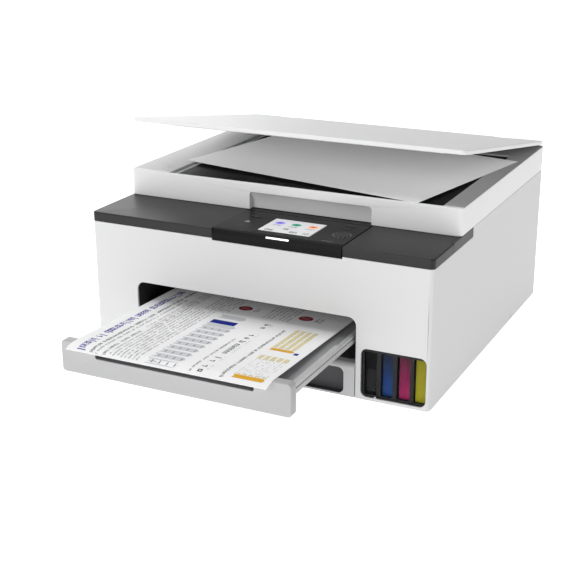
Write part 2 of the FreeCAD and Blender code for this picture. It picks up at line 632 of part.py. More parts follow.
def rear_access_cover():
    shell = rounded(grow(ACCESS_X, -0.5), (371.6, COVER_BACK), grow(ACCESS_Z, -0.5), 4, "y")
    rear_edges = [e for e in shell.Edges if e.CenterOfMass.y > COVER_BACK - 0.1]
    shell = shell.makeFillet(2.5, rear_edges)
    hollow = box(grow(ACCESS_X, -3), (371, COVER_BACK - 2.4), grow(ACCESS_Z, -3))
    grip = rounded((-30, 5), (COVER_BACK - 1.5, COVER_BACK + 1), (112, 119), 3, "y")
    ribs = [box((x, x + 1.6), (372, COVER_BACK - 2), (46, 122)) for x in range(-110, 90, 30)]
    pins = [rod("x", COVER_PIVOT, 1.2, xs)
            for xs in ((ACCESS_X[0] - 4.2, ACCESS_X[0] + 1), (ACCESS_X[1] - 1, ACCESS_X[1] + 4.2))]
    save("rear_access_cover", fuse(shell.cut(hollow), *ribs, *pins).cut(grip))


# ---------------------------------------------------------------- paper handling

def output_tray():
    xs = TRAY_X
    ys = (LIP_Y[1], TRAY_BACK)
    plate = box(xs, ys, (TRAY_TOP - 2.2, TRAY_TOP))
    rails = []
    for rail_x, groove_x in (((xs[0], xs[0] + 4.5), (xs[0] - 1, xs[0] + 1.2)),
                             ((xs[1] - 4.5, xs[1]), (xs[1] - 1.2, xs[1] + 1))):
        rail = box(rail_x, ys, TRAY_Z)
        rail = rail.cut(box(groove_x, (ys[0] - 1, ys[1] + 1), (57.6, 59.6)))
        rail = rail.cut(box(grow(rail_x, 1), (-30, ys[1] + 1), (62, 66)))
        rails.append(rail)
    ribs = [box((x, x + 2), ys, (TRAY_TOP - 0.5, TRAY_TOP + 0.8)) for x in range(-100, 90, 30)]
    tray = fuse(plate, *rails, *ribs)
    save("output_tray", tray.cut(prism_x(above_sheet(), grow(SHEET_X, 0.5))))


def above_sheet():
    """Side outline (y, z) of the room kept for the sheet, from just under it upwards."""
    lower = [(y, z - SHEET_GAP / 2) for y, z in sheet_outline()[len(SHEET_DROOP):len(SHEET_DROOP) + 3]]
    return lower + [(lower[-1][0], TRAY_Z[1] + 5), (lower[0][0], TRAY_Z[1] + 5)]


def tray_lip():
    lip = round_edges(box(LIP_X, LIP_Y, LIP_Z), 4, "y")
    lip = round_edges(lip, 1.2, "x", lambda m: m.y < LIP_Y[0] + 0.1 and m.z > LIP_Z[1] - 0.1)
    slot = rounded(LIP_SLOT_X, (LIP_Y[0] - 1, LIP_Y[0] + 6.5), LIP_SLOT_Z, LIP_SLOT_R, "y")
    save("tray_lip", lip.cut(slot))


def sheet_outline():
    """Side outline (y, z) of the printed sheet: drooping over the lip, then down to the tray."""
    slope = math.tan(math.radians(SHEET_SLOPE_DEG))
    low = TRAY_TOP + 1.0
    lip_height = SHEET_DROOP[-1][1]
    bend_y = LIP_Y[1] + (lip_height - low) / slope
    back_y = SHEET_DROOP[0][0] + SHEET_LENGTH
    lower = SHEET_DROOP + [(LIP_Y[1], lip_height), (bend_y, low), (back_y, low)]
    upper = [(y, z + PAPER) for y, z in reversed(lower)]
    return lower + upper


def printed_sheet():
    save("printed_sheet", prism_x(sheet_outline(), SHEET_X))


def cassette():
    front = box((OPEN_X[0] + 0.8, OPEN_X[1] - 0.8), (0, CASSETTE_FRONT_DEPTH), (CASE_BOTTOM, CASSETTE_TOP))
    front = round_edges(front, 5, "x", lambda m: m.y < 0.1 and m.z > 20)
    recess = rounded(GRIP_X, (-1, 8), GRIP_Z, 6, "y")
    save("cassette_front", front.cut(recess))

    bin_box = box(BIN_X, BIN_Y, BIN_Z)
    hollow = box(grow(BIN_X, -2), grow(BIN_Y, -2), (BIN_Z[0] + 2, BIN_Z[1] + 1))
    runners = [box((x, x + 4), (20, 325), (FLOOR_TOP + 0.1, BIN_Z[0] + 0.5)) for x in (-120, 92)]
    save("cassette_bin", fuse(bin_box.cut(hollow), *runners))


def side_guides():
    height = (BIN_Z[0] + 2.2, 30)
    foot_z = (BIN_Z[0] + 2.2, BIN_Z[0] + 3.4)
    left_face, right_face = GUIDE_FACES
    left = fuse(box((left_face - 3, left_face), (110, 210), height),
                box((left_face - 3, left_face + 26), (150, 170), foot_z))
    right = fuse(box((right_face, right_face + 3), (110, 210), height),
                 box((right_face - 26, right_face + 3), (150, 170), foot_z))
    save("side_guide_left", left)
    save("side_guide_right", right)


# ---------------------------------------------------------------- control panel

def panel_profile(inset):
    """Side outline (y, z) of the tilting panel, shrunk inwards by the inset."""
    return [(-0.6 + inset, PANEL_BOTTOM - inset * 4), (-0.9 + inset, 145.4),
            (1.6 + inset, PANEL_TOP - 0.8 - inset), (4.5 + inset, PANEL_TOP - inset),
            (PANEL_BACK - inset, PANEL_TOP - inset), (PANEL_BACK - inset, PANEL_BOTTOM + 2 - inset * 8)]


def button_blank(place, clearance, zs):
    x, y, width, depth = place
    radius = min(width, depth) / 2 + clearance - 0.01
    return rounded(grow((x - width / 2, x + width / 2), clearance),
                   grow((y - depth / 2, y + depth / 2), clearance), zs, radius, "z")


def control_panel():
    shell = prism_x(panel_profile(0), PANEL_X)
    hollow = prism_x(panel_profile(2.2), grow(PANEL_X, -2.2))
    panel = shell.cut(hollow)
    panel = panel.cut(box(grow(LCD_X, 0.3), grow(LCD_Y, 0.3), (145, 155)))
    for place in (POWER_BUTTON, STOP_BUTTON, BLACK_BUTTON, COLOUR_BUTTON):
        panel = panel.cut(button_blank(place, BUTTON_TRAVEL_GAP, (145, 155)))
    panel = panel.cut(prism_x(bevel_block(grow(BAR_BAND, 0.04), 1, 2.4), grow(BAR_X, 0.15)))
    for xs in EAR_X:
        panel = panel.cut(box(grow(xs, 0.5), (60, PANEL_BACK + 1), (PANEL_BOTTOM - 1, PANEL_TOP - 2.1)))
    pins = [rod("x", PANEL_PIVOT, 1.5, xs) for xs in ((PANEL_X[0] + 1, -36.5), (87.8, PANEL_X[1] - 1))]
    board = box((-36, 87), (8, 62), (141.5, 143.1))
    posts = [box((x, x + 2.5), (y, y + 2.5), (143, 149.5))
             for x in (-36, 64) for y in (9, 59)]
    save("control_panel", fuse(panel, board, *pins, *posts))


def bevel_block(band, outward, inward):
    """Side outline of a block across the panel's front bevel, between two shares of its height."""
    (low_y, low_z), (high_y, high_z) = panel_profile(0)[1:3]
    run_y, run_z = high_y - low_y, high_z - low_z
    length = math.hypot(run_y, run_z)
    normal_y, normal_z = run_z / length, -run_y / length
    corners = [(band[0], -outward), (band[1], -outward), (band[1], inward), (band[0], inward)]
    return [(low_y + share * run_y + depth * normal_y, low_z + share * run_z + depth * normal_z)
            for share, depth in corners]


def panel_details():
    screen = rounded(LCD_X, LCD_Y, (148, PANEL_TOP + 0.25), 0.8, "z")
    save("lcd_screen", fuse(screen, box(grow(LCD_X, -4), grow(LCD_Y, -4), (143.1, 148.5))))
    save("status_bar", prism_x(bevel_block(BAR_BAND, 0.05, 2.0), BAR_X))
    places = {"power_button": POWER_BUTTON, "stop_button": STOP_BUTTON,
              "black_start_button": BLACK_BUTTON, "colour_start_button": COLOUR_BUTTON}
    for node, place in places.items():
        key = button_blank(place, 0, (147.2, PANEL_TOP + 0.4))
        top = [e for e in key.Edges if e.CenterOfMass.z > PANEL_TOP + 0.3]
        key = key.makeFillet(0.3, top)
        save(node, key)


# ---------------------------------------------------------------- scanner unit

def scoop_cutter():
    """Concave finger recess in the scanner's front wall."""
    front = SCAN_FRONT - 2
    top = vec(0, SCAN_FRONT, SCOOP_TOP)
    deep = vec(0, SCAN_FRONT + 7.9, SCAN_Z[0] - 1)
    middle = vec(0, SCAN_FRONT + 5.9, SCOOP_TOP - 7.5)
    curve = Part.Arc(top, middle, deep).toShape()
    corners = [deep, vec(0, front, deep.z), vec(0, front, SCOOP_TOP), top]
    face = Part.Face(Part.Wire([curve] + Part.makePolygon(corners).Edges))
    face.translate(vec(SCOOP_X[0], 0, 0))
    cutter = face.extrude(vec(SCOOP_X[1] - SCOOP_X[0], 0, 0))
    frame = round_edges(box(SCOOP_X, (front, SCAN_FRONT + 9), (140, SCOOP_TOP)), 4, "y",
                        lambda m: m.z > 160)
    return cutter.common(frame)


def scanner_frame():
    outer = rounded((-HALF_WIDTH, HALF_WIDTH), (SCAN_FRONT, DEPTH), SCAN_Z, CORNER_R, "z")
    top_edges = [e for e in outer.Edges if e.CenterOfMass.z > SCAN_Z[1] - 0.1]
    outer = outer.makeFillet(1.2, top_edges)
    inner = rounded(grow((-HALF_WIDTH, HALF_WIDTH), -WALL), (SCAN_FRONT + WALL, DEPTH - WALL),
                    (140, SCAN_Z[1] - RIM_THICK), CORNER_R - WALL, "z")
    frame = outer.cut(inner)
    frame = frame.cut(rounded(GLASS_OPEN_X, GLASS_OPEN_Y, (170, 182), 1.0, "z"))
    frame = frame.cut(box((-190, 190), (SCAN_PIVOT[0], DEPTH + 2), (140, 156)))
    block = box((-48, 99), (SCAN_FRONT + WALL - 0.5, SCAN_FRONT + 10.2), (SCAN_Z[0], 173))
    frame = fuse(frame, block).cut(scoop_cutter())
    for side in (-1, 1):
        span = sorted((side * LID_HINGE_X[0], side * LID_HINGE_X[1]))
        post = box(span, (LID_PIVOT[0] - 2.2, LID_PIVOT[0] + 2.0), (SCAN_Z[1] - 1.5, LID_PIVOT[1]))
        knuckle = rod("x", LID_PIVOT, 2.2, span)
        frame = fuse(frame, post, knuckle)
        frame = frame.cut(rod("x", LID_PIVOT, 1.0 + RUN_GAP, grow(span, 1)))
    save("scanner_frame", frame)


def scanner_base():
    plate = rounded((-184.3, 184.3), (SCAN_FRONT + 2.7, 360), (151, 153.5), 3, "z")
    plate = plate.cut(box((-49, 100), (SCAN_FRONT, SCAN_FRONT + 11), (150, 155)))
    guide = box((-146, 172), (190, 200), (153, 157))
    ribs = [box((x, x + 1.8), (92, 350), (153, 154)) for x in (-175, -100, -40, 20, 80, 140, 176)]
    base = fuse(plate, guide, *ribs)
    for side in (-1, 1):
        span = sorted((side * HINGE_X[0], side * HINGE_X[1]))
        arm = box(span, (350, SCAN_PIVOT[0]), (151, 154.5))
        barrel = rod("x", SCAN_PIVOT, 3.4, span)
        base = fuse(base, arm, barrel)
        base = base.cut(rod("x", SCAN_PIVOT, 1.5 + RUN_GAP, grow(span, 1)))
    save("scanner_base", base)


def platen_glass():
    top = SCAN_Z[1] - RIM_THICK
    save("platen_glass", box((-144, 170), (SCAN_FRONT + 3, 311), (top - GLASS_THICK, top)))


def scan_carriage():
    bar = rounded((-138, -118), (89, 302), (160, 172.6), 1.5, "y")
    lens = box((-131, -126), (93, 298), (172, 173.3))
    foot = box((-136, -120), (186, 204), (154.2, 160.5)).cut(box((-140, -116), (189.6, 200.4), (153, 157.4)))
    save("scan_carriage", fuse(bar, lens, foot))


# ---------------------------------------------------------------- lid and original

def document_lid():
    shell = rounded((-LID_HALF_WIDTH, LID_HALF_WIDTH), LID_Y, LID_Z, 6, "z")
    top_edges = [e for e in shell.Edges if e.CenterOfMass.z > LID_Z[1] - 0.1]
    shell = shell.makeFillet(1.0, top_edges)
    hollow = rounded(grow((-LID_HALF_WIDTH, LID_HALF_WIDTH), -2), grow(LID_Y, -2),
                     (LID_Z[0] - 1, LID_Z[1] - 1.8), 4, "z")
    lid = shell.cut(hollow)
    for side in (-1, 1):
        span = sorted((side * LID_HINGE_X[0], side * LID_HINGE_X[1]))
        notch = grow(span, 2)
        walls = ((LID_HINGE_X[0] - 5, LID_HINGE_X[0] - 2), (LID_HINGE_X[1] + 2, LID_HINGE_X[1] + 5))
        cheeks = [box(sorted((side * a, side * b)), (362, LID_Y[1] - 1), (LID_Z[0], LID_Z[1] - 1))
                  for a, b in walls]
        lid = fuse(lid.cut(box(notch, (363, LID_Y[1] + 1), (LID_Z[0] - 1, LID_Z[1] + 1))), *cheeks)
        lid = fuse(lid, rod("x", LID_PIVOT, 1.0, grow(notch, 1)))
    save("lid_cover", turned(lid, LID_PIVOT, LID_OPEN_DEG))
    pad = rounded((-142, 163), (83, 309), (PAD_BOTTOM, LID_Z[1] - 1.8), 3, "z")
    save("lid_pad", turned(pad, LID_PIVOT, LID_OPEN_DEG))


def original_sheet():
    low = SCAN_Z[1] + 0.1
    sheet = box((-A4_LONG / 2, A4_LONG / 2), (-A4_SHORT / 2, A4_SHORT / 2), (low, low + PAPER))
    sheet.rotate(vec(0, 0, 0), Z_AXIS, ORIGINAL_TURN_DEG)
    sheet.translate(vec(ORIGINAL_CENTRE[0], ORIGINAL_CENTRE[1], 0))
    save("original_sheet", sheet)


def main():
    os.makedirs("parts", exist_ok=True)
    outer_case()
    bottom_case()
    rubber_feet()
    bay_liner()
    rear_panel()
    case_screws()
    decks()
    panel_well()
    inner_cover()
    ink_window()
    ink_tanks()
    pinion_centre, idler_centre = gear_train()
    engine_frame(pinion_centre, idler_centre)
    drive_motors(pinion_centre)
    carriage_rail()
    feed_roller()
    platen()
    purge_unit()
    print_carriage()
    print_heads()
    paper_turn_guide()
    pickup_roller()
    power_supply()
    main_board()
    rear_access_cover()
    output_tray()
    tray_lip()
    printed_sheet()
    cassette()
    side_guides()
    control_panel()
    panel_details()
    scanner_frame()
    scanner_base()
    platen_glass()
    scan_carriage()
    document_lid()
    original_sheet()


main()
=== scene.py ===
import json
import math

import bmesh
import bpy
from mathutils import Matrix, Vector


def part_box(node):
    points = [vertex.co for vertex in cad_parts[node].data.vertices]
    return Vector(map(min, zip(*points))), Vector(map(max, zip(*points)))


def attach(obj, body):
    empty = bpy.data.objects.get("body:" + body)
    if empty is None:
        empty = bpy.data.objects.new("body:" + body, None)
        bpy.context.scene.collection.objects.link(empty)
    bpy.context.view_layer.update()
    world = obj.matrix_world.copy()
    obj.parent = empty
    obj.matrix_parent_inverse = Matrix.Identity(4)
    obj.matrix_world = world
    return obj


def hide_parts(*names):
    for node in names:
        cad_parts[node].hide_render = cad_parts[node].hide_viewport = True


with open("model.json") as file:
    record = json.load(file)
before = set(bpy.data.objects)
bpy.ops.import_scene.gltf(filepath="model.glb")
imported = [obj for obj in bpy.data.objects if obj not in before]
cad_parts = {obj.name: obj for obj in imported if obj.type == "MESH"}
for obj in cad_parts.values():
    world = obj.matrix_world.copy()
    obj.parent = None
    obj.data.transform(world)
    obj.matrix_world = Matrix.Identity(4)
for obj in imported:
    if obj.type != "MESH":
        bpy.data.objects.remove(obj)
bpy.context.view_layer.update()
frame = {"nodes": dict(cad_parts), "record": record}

# ---------------------------------------------------------------- sizes taken from the frame
MM = 0.001
NODES = frame["nodes"]
BODY_OF = {node: body for body, nodes in frame["record"]["behaviour"]["bodies"].items()
           for node in nodes}
BODY_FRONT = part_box("outer_case")[0].y
# Height of the scanner frame's underside on the body's own scale, and that scale's zero.
SCANNER_FOOT = 150.8
TABLE_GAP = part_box("scanner_frame")[0].z - SCANNER_FOOT * MM
PAPER_LIFT = 0.00006


def at(x, y, z):
    """A point given in millimetres, with y counted back from the body's front face."""
    return Vector((x * MM, BODY_FRONT + y * MM, level(z)))


def level(z):
    """A height in millimetres on the body's own scale, whose zero lies just above the table."""
    return z * MM + TABLE_GAP


# ---------------------------------------------------------------- camera
CAMERA_PLACE = (521.72, -978.37, 490.76)
CAMERA_YAW = math.radians(26.41)
CAMERA_PITCH = math.radians(19.52)
CAMERA_ROLL = math.radians(-0.295)
CAMERA_LENS, CAMERA_SENSOR = 75.49, 36.0


def set_camera():
    """Long lens on the printer's front right, turned by yaw, then pitch, then roll."""
    data = bpy.data.cameras.new("viewpoint")
    data.sensor_width = CAMERA_SENSOR
    data.lens = CAMERA_LENS
    camera = bpy.data.objects.new("viewpoint", data)
    bpy.context.scene.collection.objects.link(camera)
    flat = math.cos(CAMERA_PITCH)
    ahead = Vector((-math.sin(CAMERA_YAW) * flat, math.cos(CAMERA_YAW) * flat,
                    -math.sin(CAMERA_PITCH)))
    sideways = Vector((math.cos(CAMERA_YAW), math.sin(CAMERA_YAW), 0.0))
    upward = sideways.cross(ahead)
    right = math.cos(CAMERA_ROLL) * sideways + math.sin(CAMERA_ROLL) * upward
    top = -math.sin(CAMERA_ROLL) * sideways + math.cos(CAMERA_ROLL) * upward
    turn = Matrix((right, top, -ahead)).transposed()
    camera.matrix_world = Matrix.Translation(at(*CAMERA_PLACE)) @ turn.to_4x4()
    data.clip_start, data.clip_end = 0.01, 50.0
    bpy.context.scene.camera = camera


# ---------------------------------------------------------------- shader writing kit
class Value:
    """A shader socket that takes part in ordinary arithmetic."""

    def __init__(self, tree, socket):
        self.tree, self.socket = tree, socket

    def maths(self, operation, first, second=None):
        node = self.tree.nodes.new("ShaderNodeMath")
        node.operation = operation
        for index, operand in enumerate((first, second)):
            if isinstance(operand, Value):
                self.tree.links.new(operand.socket, node.inputs[index])
            elif operand is not None:
                node.inputs[index].default_value = operand
        return Value(self.tree, node.outputs[0])

    def __add__(self, other): return self.maths("ADD", self, other)
    def __radd__(self, other): return self.maths("ADD", other, self)
    def __sub__(self, other): return self.maths("SUBTRACT", self, other)
    def __rsub__(self, other): return self.maths("SUBTRACT", other, self)
    def __mul__(self, other): return self.maths("MULTIPLY", self, other)
    def __rmul__(self, other): return self.maths("MULTIPLY", other, self)
    def __truediv__(self, other): return self.maths("DIVIDE", self, other)
    def __rtruediv__(self, other): return self.maths("DIVIDE", other, self)
    def __gt__(self, other): return self.maths("GREATER_THAN", self, other)
    def __lt__(self, other): return self.maths("LESS_THAN", self, other)
    def size(self): return self.maths("ABSOLUTE", self)

    def between(self, low, high):
        return (self > low) * (self < high)


class Finish:
    """One procedural material, built socket by socket."""

    def __init__(self, name, **constants):
        self.material = bpy.data.materials.new(name)
        self.material.use_nodes = True
        self.tree = self.material.node_tree
        self.tree.nodes.clear()
        self.shader = self.tree.nodes.new("ShaderNodeBsdfPrincipled")
        output = self.tree.nodes.new("ShaderNodeOutputMaterial")
        self.tree.links.new(self.shader.outputs[0], output.inputs[0])
        self.set(**constants)
        self.place = self.node("ShaderNodeTexCoord").outputs["Object"]
        parts = self.node("ShaderNodeSeparateXYZ", Vector=self.place)
        self.x, self.y, self.z = (Value(self.tree, parts.outputs[index]) for index in range(3))

    def node(self, kind, settings=None, **sockets):
        made = self.tree.nodes.new(kind)
        for name, setting in (settings or {}).items():
            setattr(made, name, setting)
        for name, content in sockets.items():
            self.feed(made.inputs[name.replace("_", " ")], content)
        return made

    def feed(self, socket, content):
        if isinstance(content, Value):
            content = content.socket
        if isinstance(content, bpy.types.NodeSocket):
            self.tree.links.new(content, socket)
        else:
            socket.default_value = content

    def set(self, **sockets):
        for name, content in sockets.items():
            self.feed(self.shader.inputs[name.replace("_", " ")], content)

    def mixed(self, first, second, factor):
        made = self.node("ShaderNodeMix", {"data_type": "RGBA"})
        self.feed(made.inputs["Factor"], factor)
        self.feed(made.inputs[6], first)
        self.feed(made.inputs[7], second)
        return made.outputs[2]

    def noise(self, scale, detail=2.0, vector=None):
        made = self.node("ShaderNodeTexNoise", Vector=vector or self.place, Scale=scale, Detail=detail)
        return Value(self.tree, made.outputs[0])

    def stretched(self, x, y, z):
        return self.node("ShaderNodeMapping", Vector=self.place, Scale=(x, y, z)).outputs[0]

    def bump(self, height, strength, distance):
        made = self.node("ShaderNodeBump", Height=height, Strength=strength, Distance=distance)
        self.feed(self.shader.inputs["Normal"], made.outputs[0])


def grey(brightness):
    return (brightness, brightness, brightness, 1.0)


def tone(colour, factor):
    return tuple(min(1.0, channel * factor) for channel in colour[:3]) + (1.0,)


def moulded(name, colour, roughness=0.5, grain=0.12, tonal=0.035, grain_scale=2600.0, **constants):
    """Injection-moulded plastic: spark-eroded grain, faint flow tones and uneven sheen."""
    finish = Finish(name, **constants)
    flow = finish.noise(9.0, 3.0)
    fine = finish.noise(grain_scale, 1.0)
    finish.set(Base_Color=finish.mixed(tone(colour, 1 - tonal), tone(colour, 1 + tonal), flow))
    finish.set(Roughness=roughness - 0.05 + flow * 0.06 + fine * 0.06)
    finish.bump(fine, grain, 0.00012)
    return finish


# ---------------------------------------------------------------- materials
CASE_WHITE = (0.65, 0.65, 0.655)
LIP_GREY = (0.43, 0.43, 0.435)
# The bezel white is lighter than the case white as painted light, lifting the bezel front out of the
# lid's shade.
BEZEL_WHITE_PAINTED_LIGHT = (0.82, 0.82, 0.825)
CASSETTE_GREY = (0.52, 0.52, 0.525)
DECK_BLACK = (0.0135, 0.0125, 0.0128)
PANEL_BLACK = (0.0045, 0.0045, 0.0048)
PAPER_WHITE = (0.92, 0.92, 0.925)


def make_materials():
    made = {}
    made["case"] = moulded("case_white_grain", CASE_WHITE, 0.52, 0.16, 0.012).material
    # The lid is lighter than the case white: painted light on its top face.
    made["lid"] = moulded("lid_grain_painted_light", (0.78, 0.78, 0.785), 0.46, 0.22, 0.010, 1500.0).material
    made["deck"] = moulded("deck_charcoal_grain", DECK_BLACK, 0.42, 0.25, 0.06, 2200.0,
                           Specular_IOR_Level=0.36).material
    made["panel"] = moulded("panel_black_satin", PANEL_BLACK, 0.34, 0.06, 0.05, 3000.0,
                            Specular_IOR_Level=0.12, Coat_Roughness=0.12, Coat_Weight=0.03).material
    made["key"] = moulded("key_black_satin", tone(PANEL_BLACK, 1.15), 0.36, 0.05, 0.04, 3000.0,
                           Specular_IOR_Level=0.3).material
    made["liner"] = moulded("bay_dark_moulding", (0.020, 0.020, 0.022), 0.62, 0.2, 0.08).material
    made["chassis"] = moulded("base_dark_moulding", (0.012, 0.012, 0.014), 0.55, 0.2, 0.08).material
    made["engine"] = moulded("engine_glass_filled", (0.022, 0.022, 0.025), 0.58, 0.35, 0.12,
                             1400.0).material
    made["inner"] = moulded("inner_grey_moulding", (0.16, 0.165, 0.17), 0.58, 0.2, 0.06).material
    made["bin"] = moulded("cassette_grey_moulding", (0.20, 0.205, 0.21), 0.55, 0.2, 0.05).material
    made["acetal"] = moulded("acetal_gear", (0.78, 0.77, 0.73), 0.38, 0.08, 0.02).material
    made["rubber"] = moulded("foot_rubber", (0.022, 0.022, 0.022), 0.85, 0.6, 0.15, 900.0).material
    made["tyre"] = ribbed_rubber()
    made["tray"] = tray_plastic()
    made["cassette_front"] = recessed("cassette_front_plastic", CASSETTE_GREY, (0.050, 0.050, 0.054),
                                      BODY_FRONT, CASSETTE_RECESS)
    made["tray_lip"] = recessed("tray_lip_plastic", LIP_GREY, (0.17, 0.17, 0.175),
                                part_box("tray_lip")[0].y, LIP_RECESS)
    made["frame"] = scanner_frame_plastic()
    made["steel"] = drawn_steel("rail_ground_steel", (900, 30, 30), 0.22)
    made["sheet_steel"] = drawn_steel("engine_plated_steel", (40, 500, 500), 0.36)
    made["screw"] = drawn_steel("screw_plated_steel", (600, 600, 600), 0.28)
    made["brass"] = drawn_steel("pinion_cut_brass", (60, 700, 700), 0.3, (0.68, 0.47, 0.2))
    made["circuit"] = circuit_board()
    made["window"] = smoked_window()
    made["tank"] = clear_tank()
    for colour, deep, pale in (("black", (0.002, 0.002, 0.003), (0.006, 0.006, 0.007)),
                               ("cyan", (0.002, 0.020, 0.07), (0.002, 0.085, 0.40)),
                               ("magenta", (0.16, 0.001, 0.04), (0.58, 0.008, 0.16)),
                               ("yellow", (0.46, 0.42, 0.0), (0.66, 0.60, 0.0))):
        made["ink_" + colour] = ink(colour, deep, pale)
        made["cap_" + colour] = moulded("cap_rubber_" + colour, tone(pale, 1.1), 0.6, 0.3, 0.06).material
    # Both papers emit faintly as painted light; the original under the lid emits more.
    made["paper"] = paper("printed_sheet_paper", PAPER_WHITE, 0.05)
    made["original"] = paper("original_sheet_paper", PAPER_WHITE, 0.08)
    made["pad"] = pad_skin()
    made["glass"] = scanner_glass()
    made["screen"] = touch_screen()
    made["light_bar"] = glowing("status_light_guide", (1.0, 1.0, 1.0), 0.9)
    made["light_strip"] = moulded("white_reference_strip", (0.42, 0.43, 0.44), 0.5, 0.05).material
    return made


def ribbed_rubber():
    finish = Finish("roller_rubber", Roughness=0.7)
    wear = finish.noise(300.0, 3.0)
    finish.set(Base_Color=finish.mixed((0.035, 0.035, 0.038, 1), (0.075, 0.075, 0.08, 1), wear))
    rings = finish.node("ShaderNodeTexWave", {"bands_direction": "X"}, Vector=finish.place, Scale=160.0)
    finish.bump(Value(finish.tree, rings.outputs[1]) + wear * 0.4, 0.35, 0.0003)
    return finish.material


TRAY_RAIL_WIDTH = 4.7 * MM


def tray_plastic():
    """Tray floor painted mid-grey as painted shade, with faint rub lines from the paper, and paler side
    rails.
    """
    finish = Finish("tray_plastic_painted_shade", Roughness=0.5)
    rub = finish.noise(1.0, 4.0, finish.stretched(900, 14, 300))
    fine = finish.noise(2400.0, 1.0)
    # The floor greys are painted shade, because the plate lies shadowed under the sheet and the mouth;
    # the rails keep a paler grey.
    floor = finish.mixed((0.30, 0.303, 0.31, 1), (0.36, 0.363, 0.37, 1), rub)
    rail = finish.x > (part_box("output_tray")[1].x - TRAY_RAIL_WIDTH)
    finish.set(Base_Color=finish.mixed(floor, grey(0.50), rail))
    finish.set(Roughness=0.42 + rub * 0.16)
    finish.bump(fine + rub * 0.6, 0.14, 0.00012)
    return finish.material


# Finger recesses in millimetres: across, in height, and in depth behind the face.
CASSETTE_RECESS = ((-122.7, 98.7), (0.5, 28.0), (0.7, 8.5))
LIP_RECESS = ((-96.2, 71.7), (52.7, 57.7), (0.6, 7.1))
BEZEL_SCOOP = ((-42.7, 93.7), (149.0, 169.7), (0.8, 11.3))
RIM_HEIGHT, RIM_SETBACK = 178.3, 4.8


def within(finish, face_y, recess):
    """One inside the recess and nought outside it."""
    across, height, depth = recess
    return (finish.x.between(across[0] * MM, across[1] * MM)
            * finish.z.between(level(height[0]), level(height[1]))
            * finish.y.between(face_y + depth[0] * MM, face_y + depth[1] * MM))


def recessed(name, colour, recess_colour, face_y, recess):
    """Moulded plastic whose finger recess is coloured darker."""
    finish = Finish(name)
    flow = finish.noise(9.0, 3.0)
    fine = finish.noise(2600.0, 1.0)
    body = finish.mixed(tone(colour, 0.985), tone(colour, 1.01), flow)
    well = finish.mixed(tone(recess_colour, 0.9), tone(recess_colour, 1.1), flow)
    finish.set(Base_Color=finish.mixed(body, well, within(finish, face_y, recess)))
    finish.set(Roughness=0.48 + fine * 0.06)
    finish.bump(fine, 0.15, 0.00012)
    return finish.material


def scanner_frame_plastic():
    """White bezel with painted shade in its finger recess, and a rim top painted darker as shade that
    deepens to the right as the lid's painted shadow.
    """
    finish = Finish("scanner_bezel_plastic")
    face_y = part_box("scanner_frame")[0].y
    flow = finish.noise(9.0, 3.0)
    fine = finish.noise(2600.0, 1.0)
    # The finger recess is painted greyer as painted shade.
    scoop_painted_shade = within(finish, face_y, BEZEL_SCOOP)
    # The rim top is painted darker than the bezel as painted shade.
    rim = (finish.z > level(RIM_HEIGHT)) * finish.y.between(face_y + RIM_SETBACK * MM, 1.0)
    # Painted shadow of the lid: the rim top darkens from left to right.
    far = finish.node("ShaderNodeClamp", Value=(finish.x + 0.10) / 0.28)
    body = finish.mixed(tone(BEZEL_WHITE_PAINTED_LIGHT, 0.985), tone(BEZEL_WHITE_PAINTED_LIGHT, 1.01), flow)
    rim_painted_shade = finish.mixed(grey(0.62), grey(0.40), far.outputs[0])
    finish.set(Base_Color=finish.mixed(finish.mixed(body, grey(0.70), scoop_painted_shade), rim_painted_shade, rim))
    finish.set(Roughness=0.48 + fine * 0.06)
    finish.bump(fine, 0.15, 0.00012)
    return finish.material


def drawn_steel(name, stretch, roughness, colour=(0.56, 0.57, 0.59)):
    finish = Finish(name, Metallic=1.0)
    grain = finish.noise(1.0, 3.0, finish.stretched(*stretch))
    blotch = finish.noise(40.0, 2.0)
    finish.set(Base_Color=finish.mixed(tone(colour, 0.82), tone(colour, 1.12), grain))
    finish.set(Roughness=roughness + grain * 0.14 + blotch * 0.08)
    finish.bump(grain, 0.12, 0.0001)
    return finish.material


# Distances through the board: where its chips end and where its sockets start.
CHIP_LAYER, SOCKET_LAYER = 2.9 * MM, 5.2 * MM


def circuit_board():
    finish = Finish("board_green_resist", Roughness=0.4)
    cells = finish.node("ShaderNodeTexVoronoi", {"distance": "MANHATTAN"}, Vector=finish.place,
                        Scale=420.0)
    tracks = Value(finish.tree, cells.outputs["Distance"]) > 0.42
    chips = finish.y < (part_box("main_board")[0].y + CHIP_LAYER)
    sockets = finish.y > (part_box("main_board")[0].y + SOCKET_LAYER)
    green = finish.mixed((0.008, 0.075, 0.03, 1), (0.03, 0.17, 0.06, 1), tracks)
    finish.set(Base_Color=finish.mixed(finish.mixed(green, grey(0.012), chips), grey(0.09), sockets))
    finish.set(Roughness=0.32 + finish.noise(600.0) * 0.16)
    finish.bump(tracks, 0.2, 0.0001)
    return finish.material


def smoked_window():
    """Dark clear acrylic: see-through, with a faint moulding haze."""
    finish = Finish("ink_window_smoked", Base_Color=(0.006, 0.006, 0.007, 1), IOR=1.49,
                    Specular_IOR_Level=0.06)
    haze = finish.noise(30.0, 3.0)
    finish.set(Roughness=0.10 + haze * 0.05, Alpha=0.10 + haze * 0.04)
    return finish.material


def clear_tank():
    finish = Finish("tank_natural_plastic", Base_Color=(0.30, 0.31, 0.33, 1), IOR=1.5,
                    Specular_IOR_Level=0.06)
    haze = finish.noise(60.0, 3.0)
    finish.set(Roughness=0.3 + haze * 0.1, Alpha=0.02 + haze * 0.02)
    return finish.material


INK_FLOOR, INK_DEPTH = 9, 36


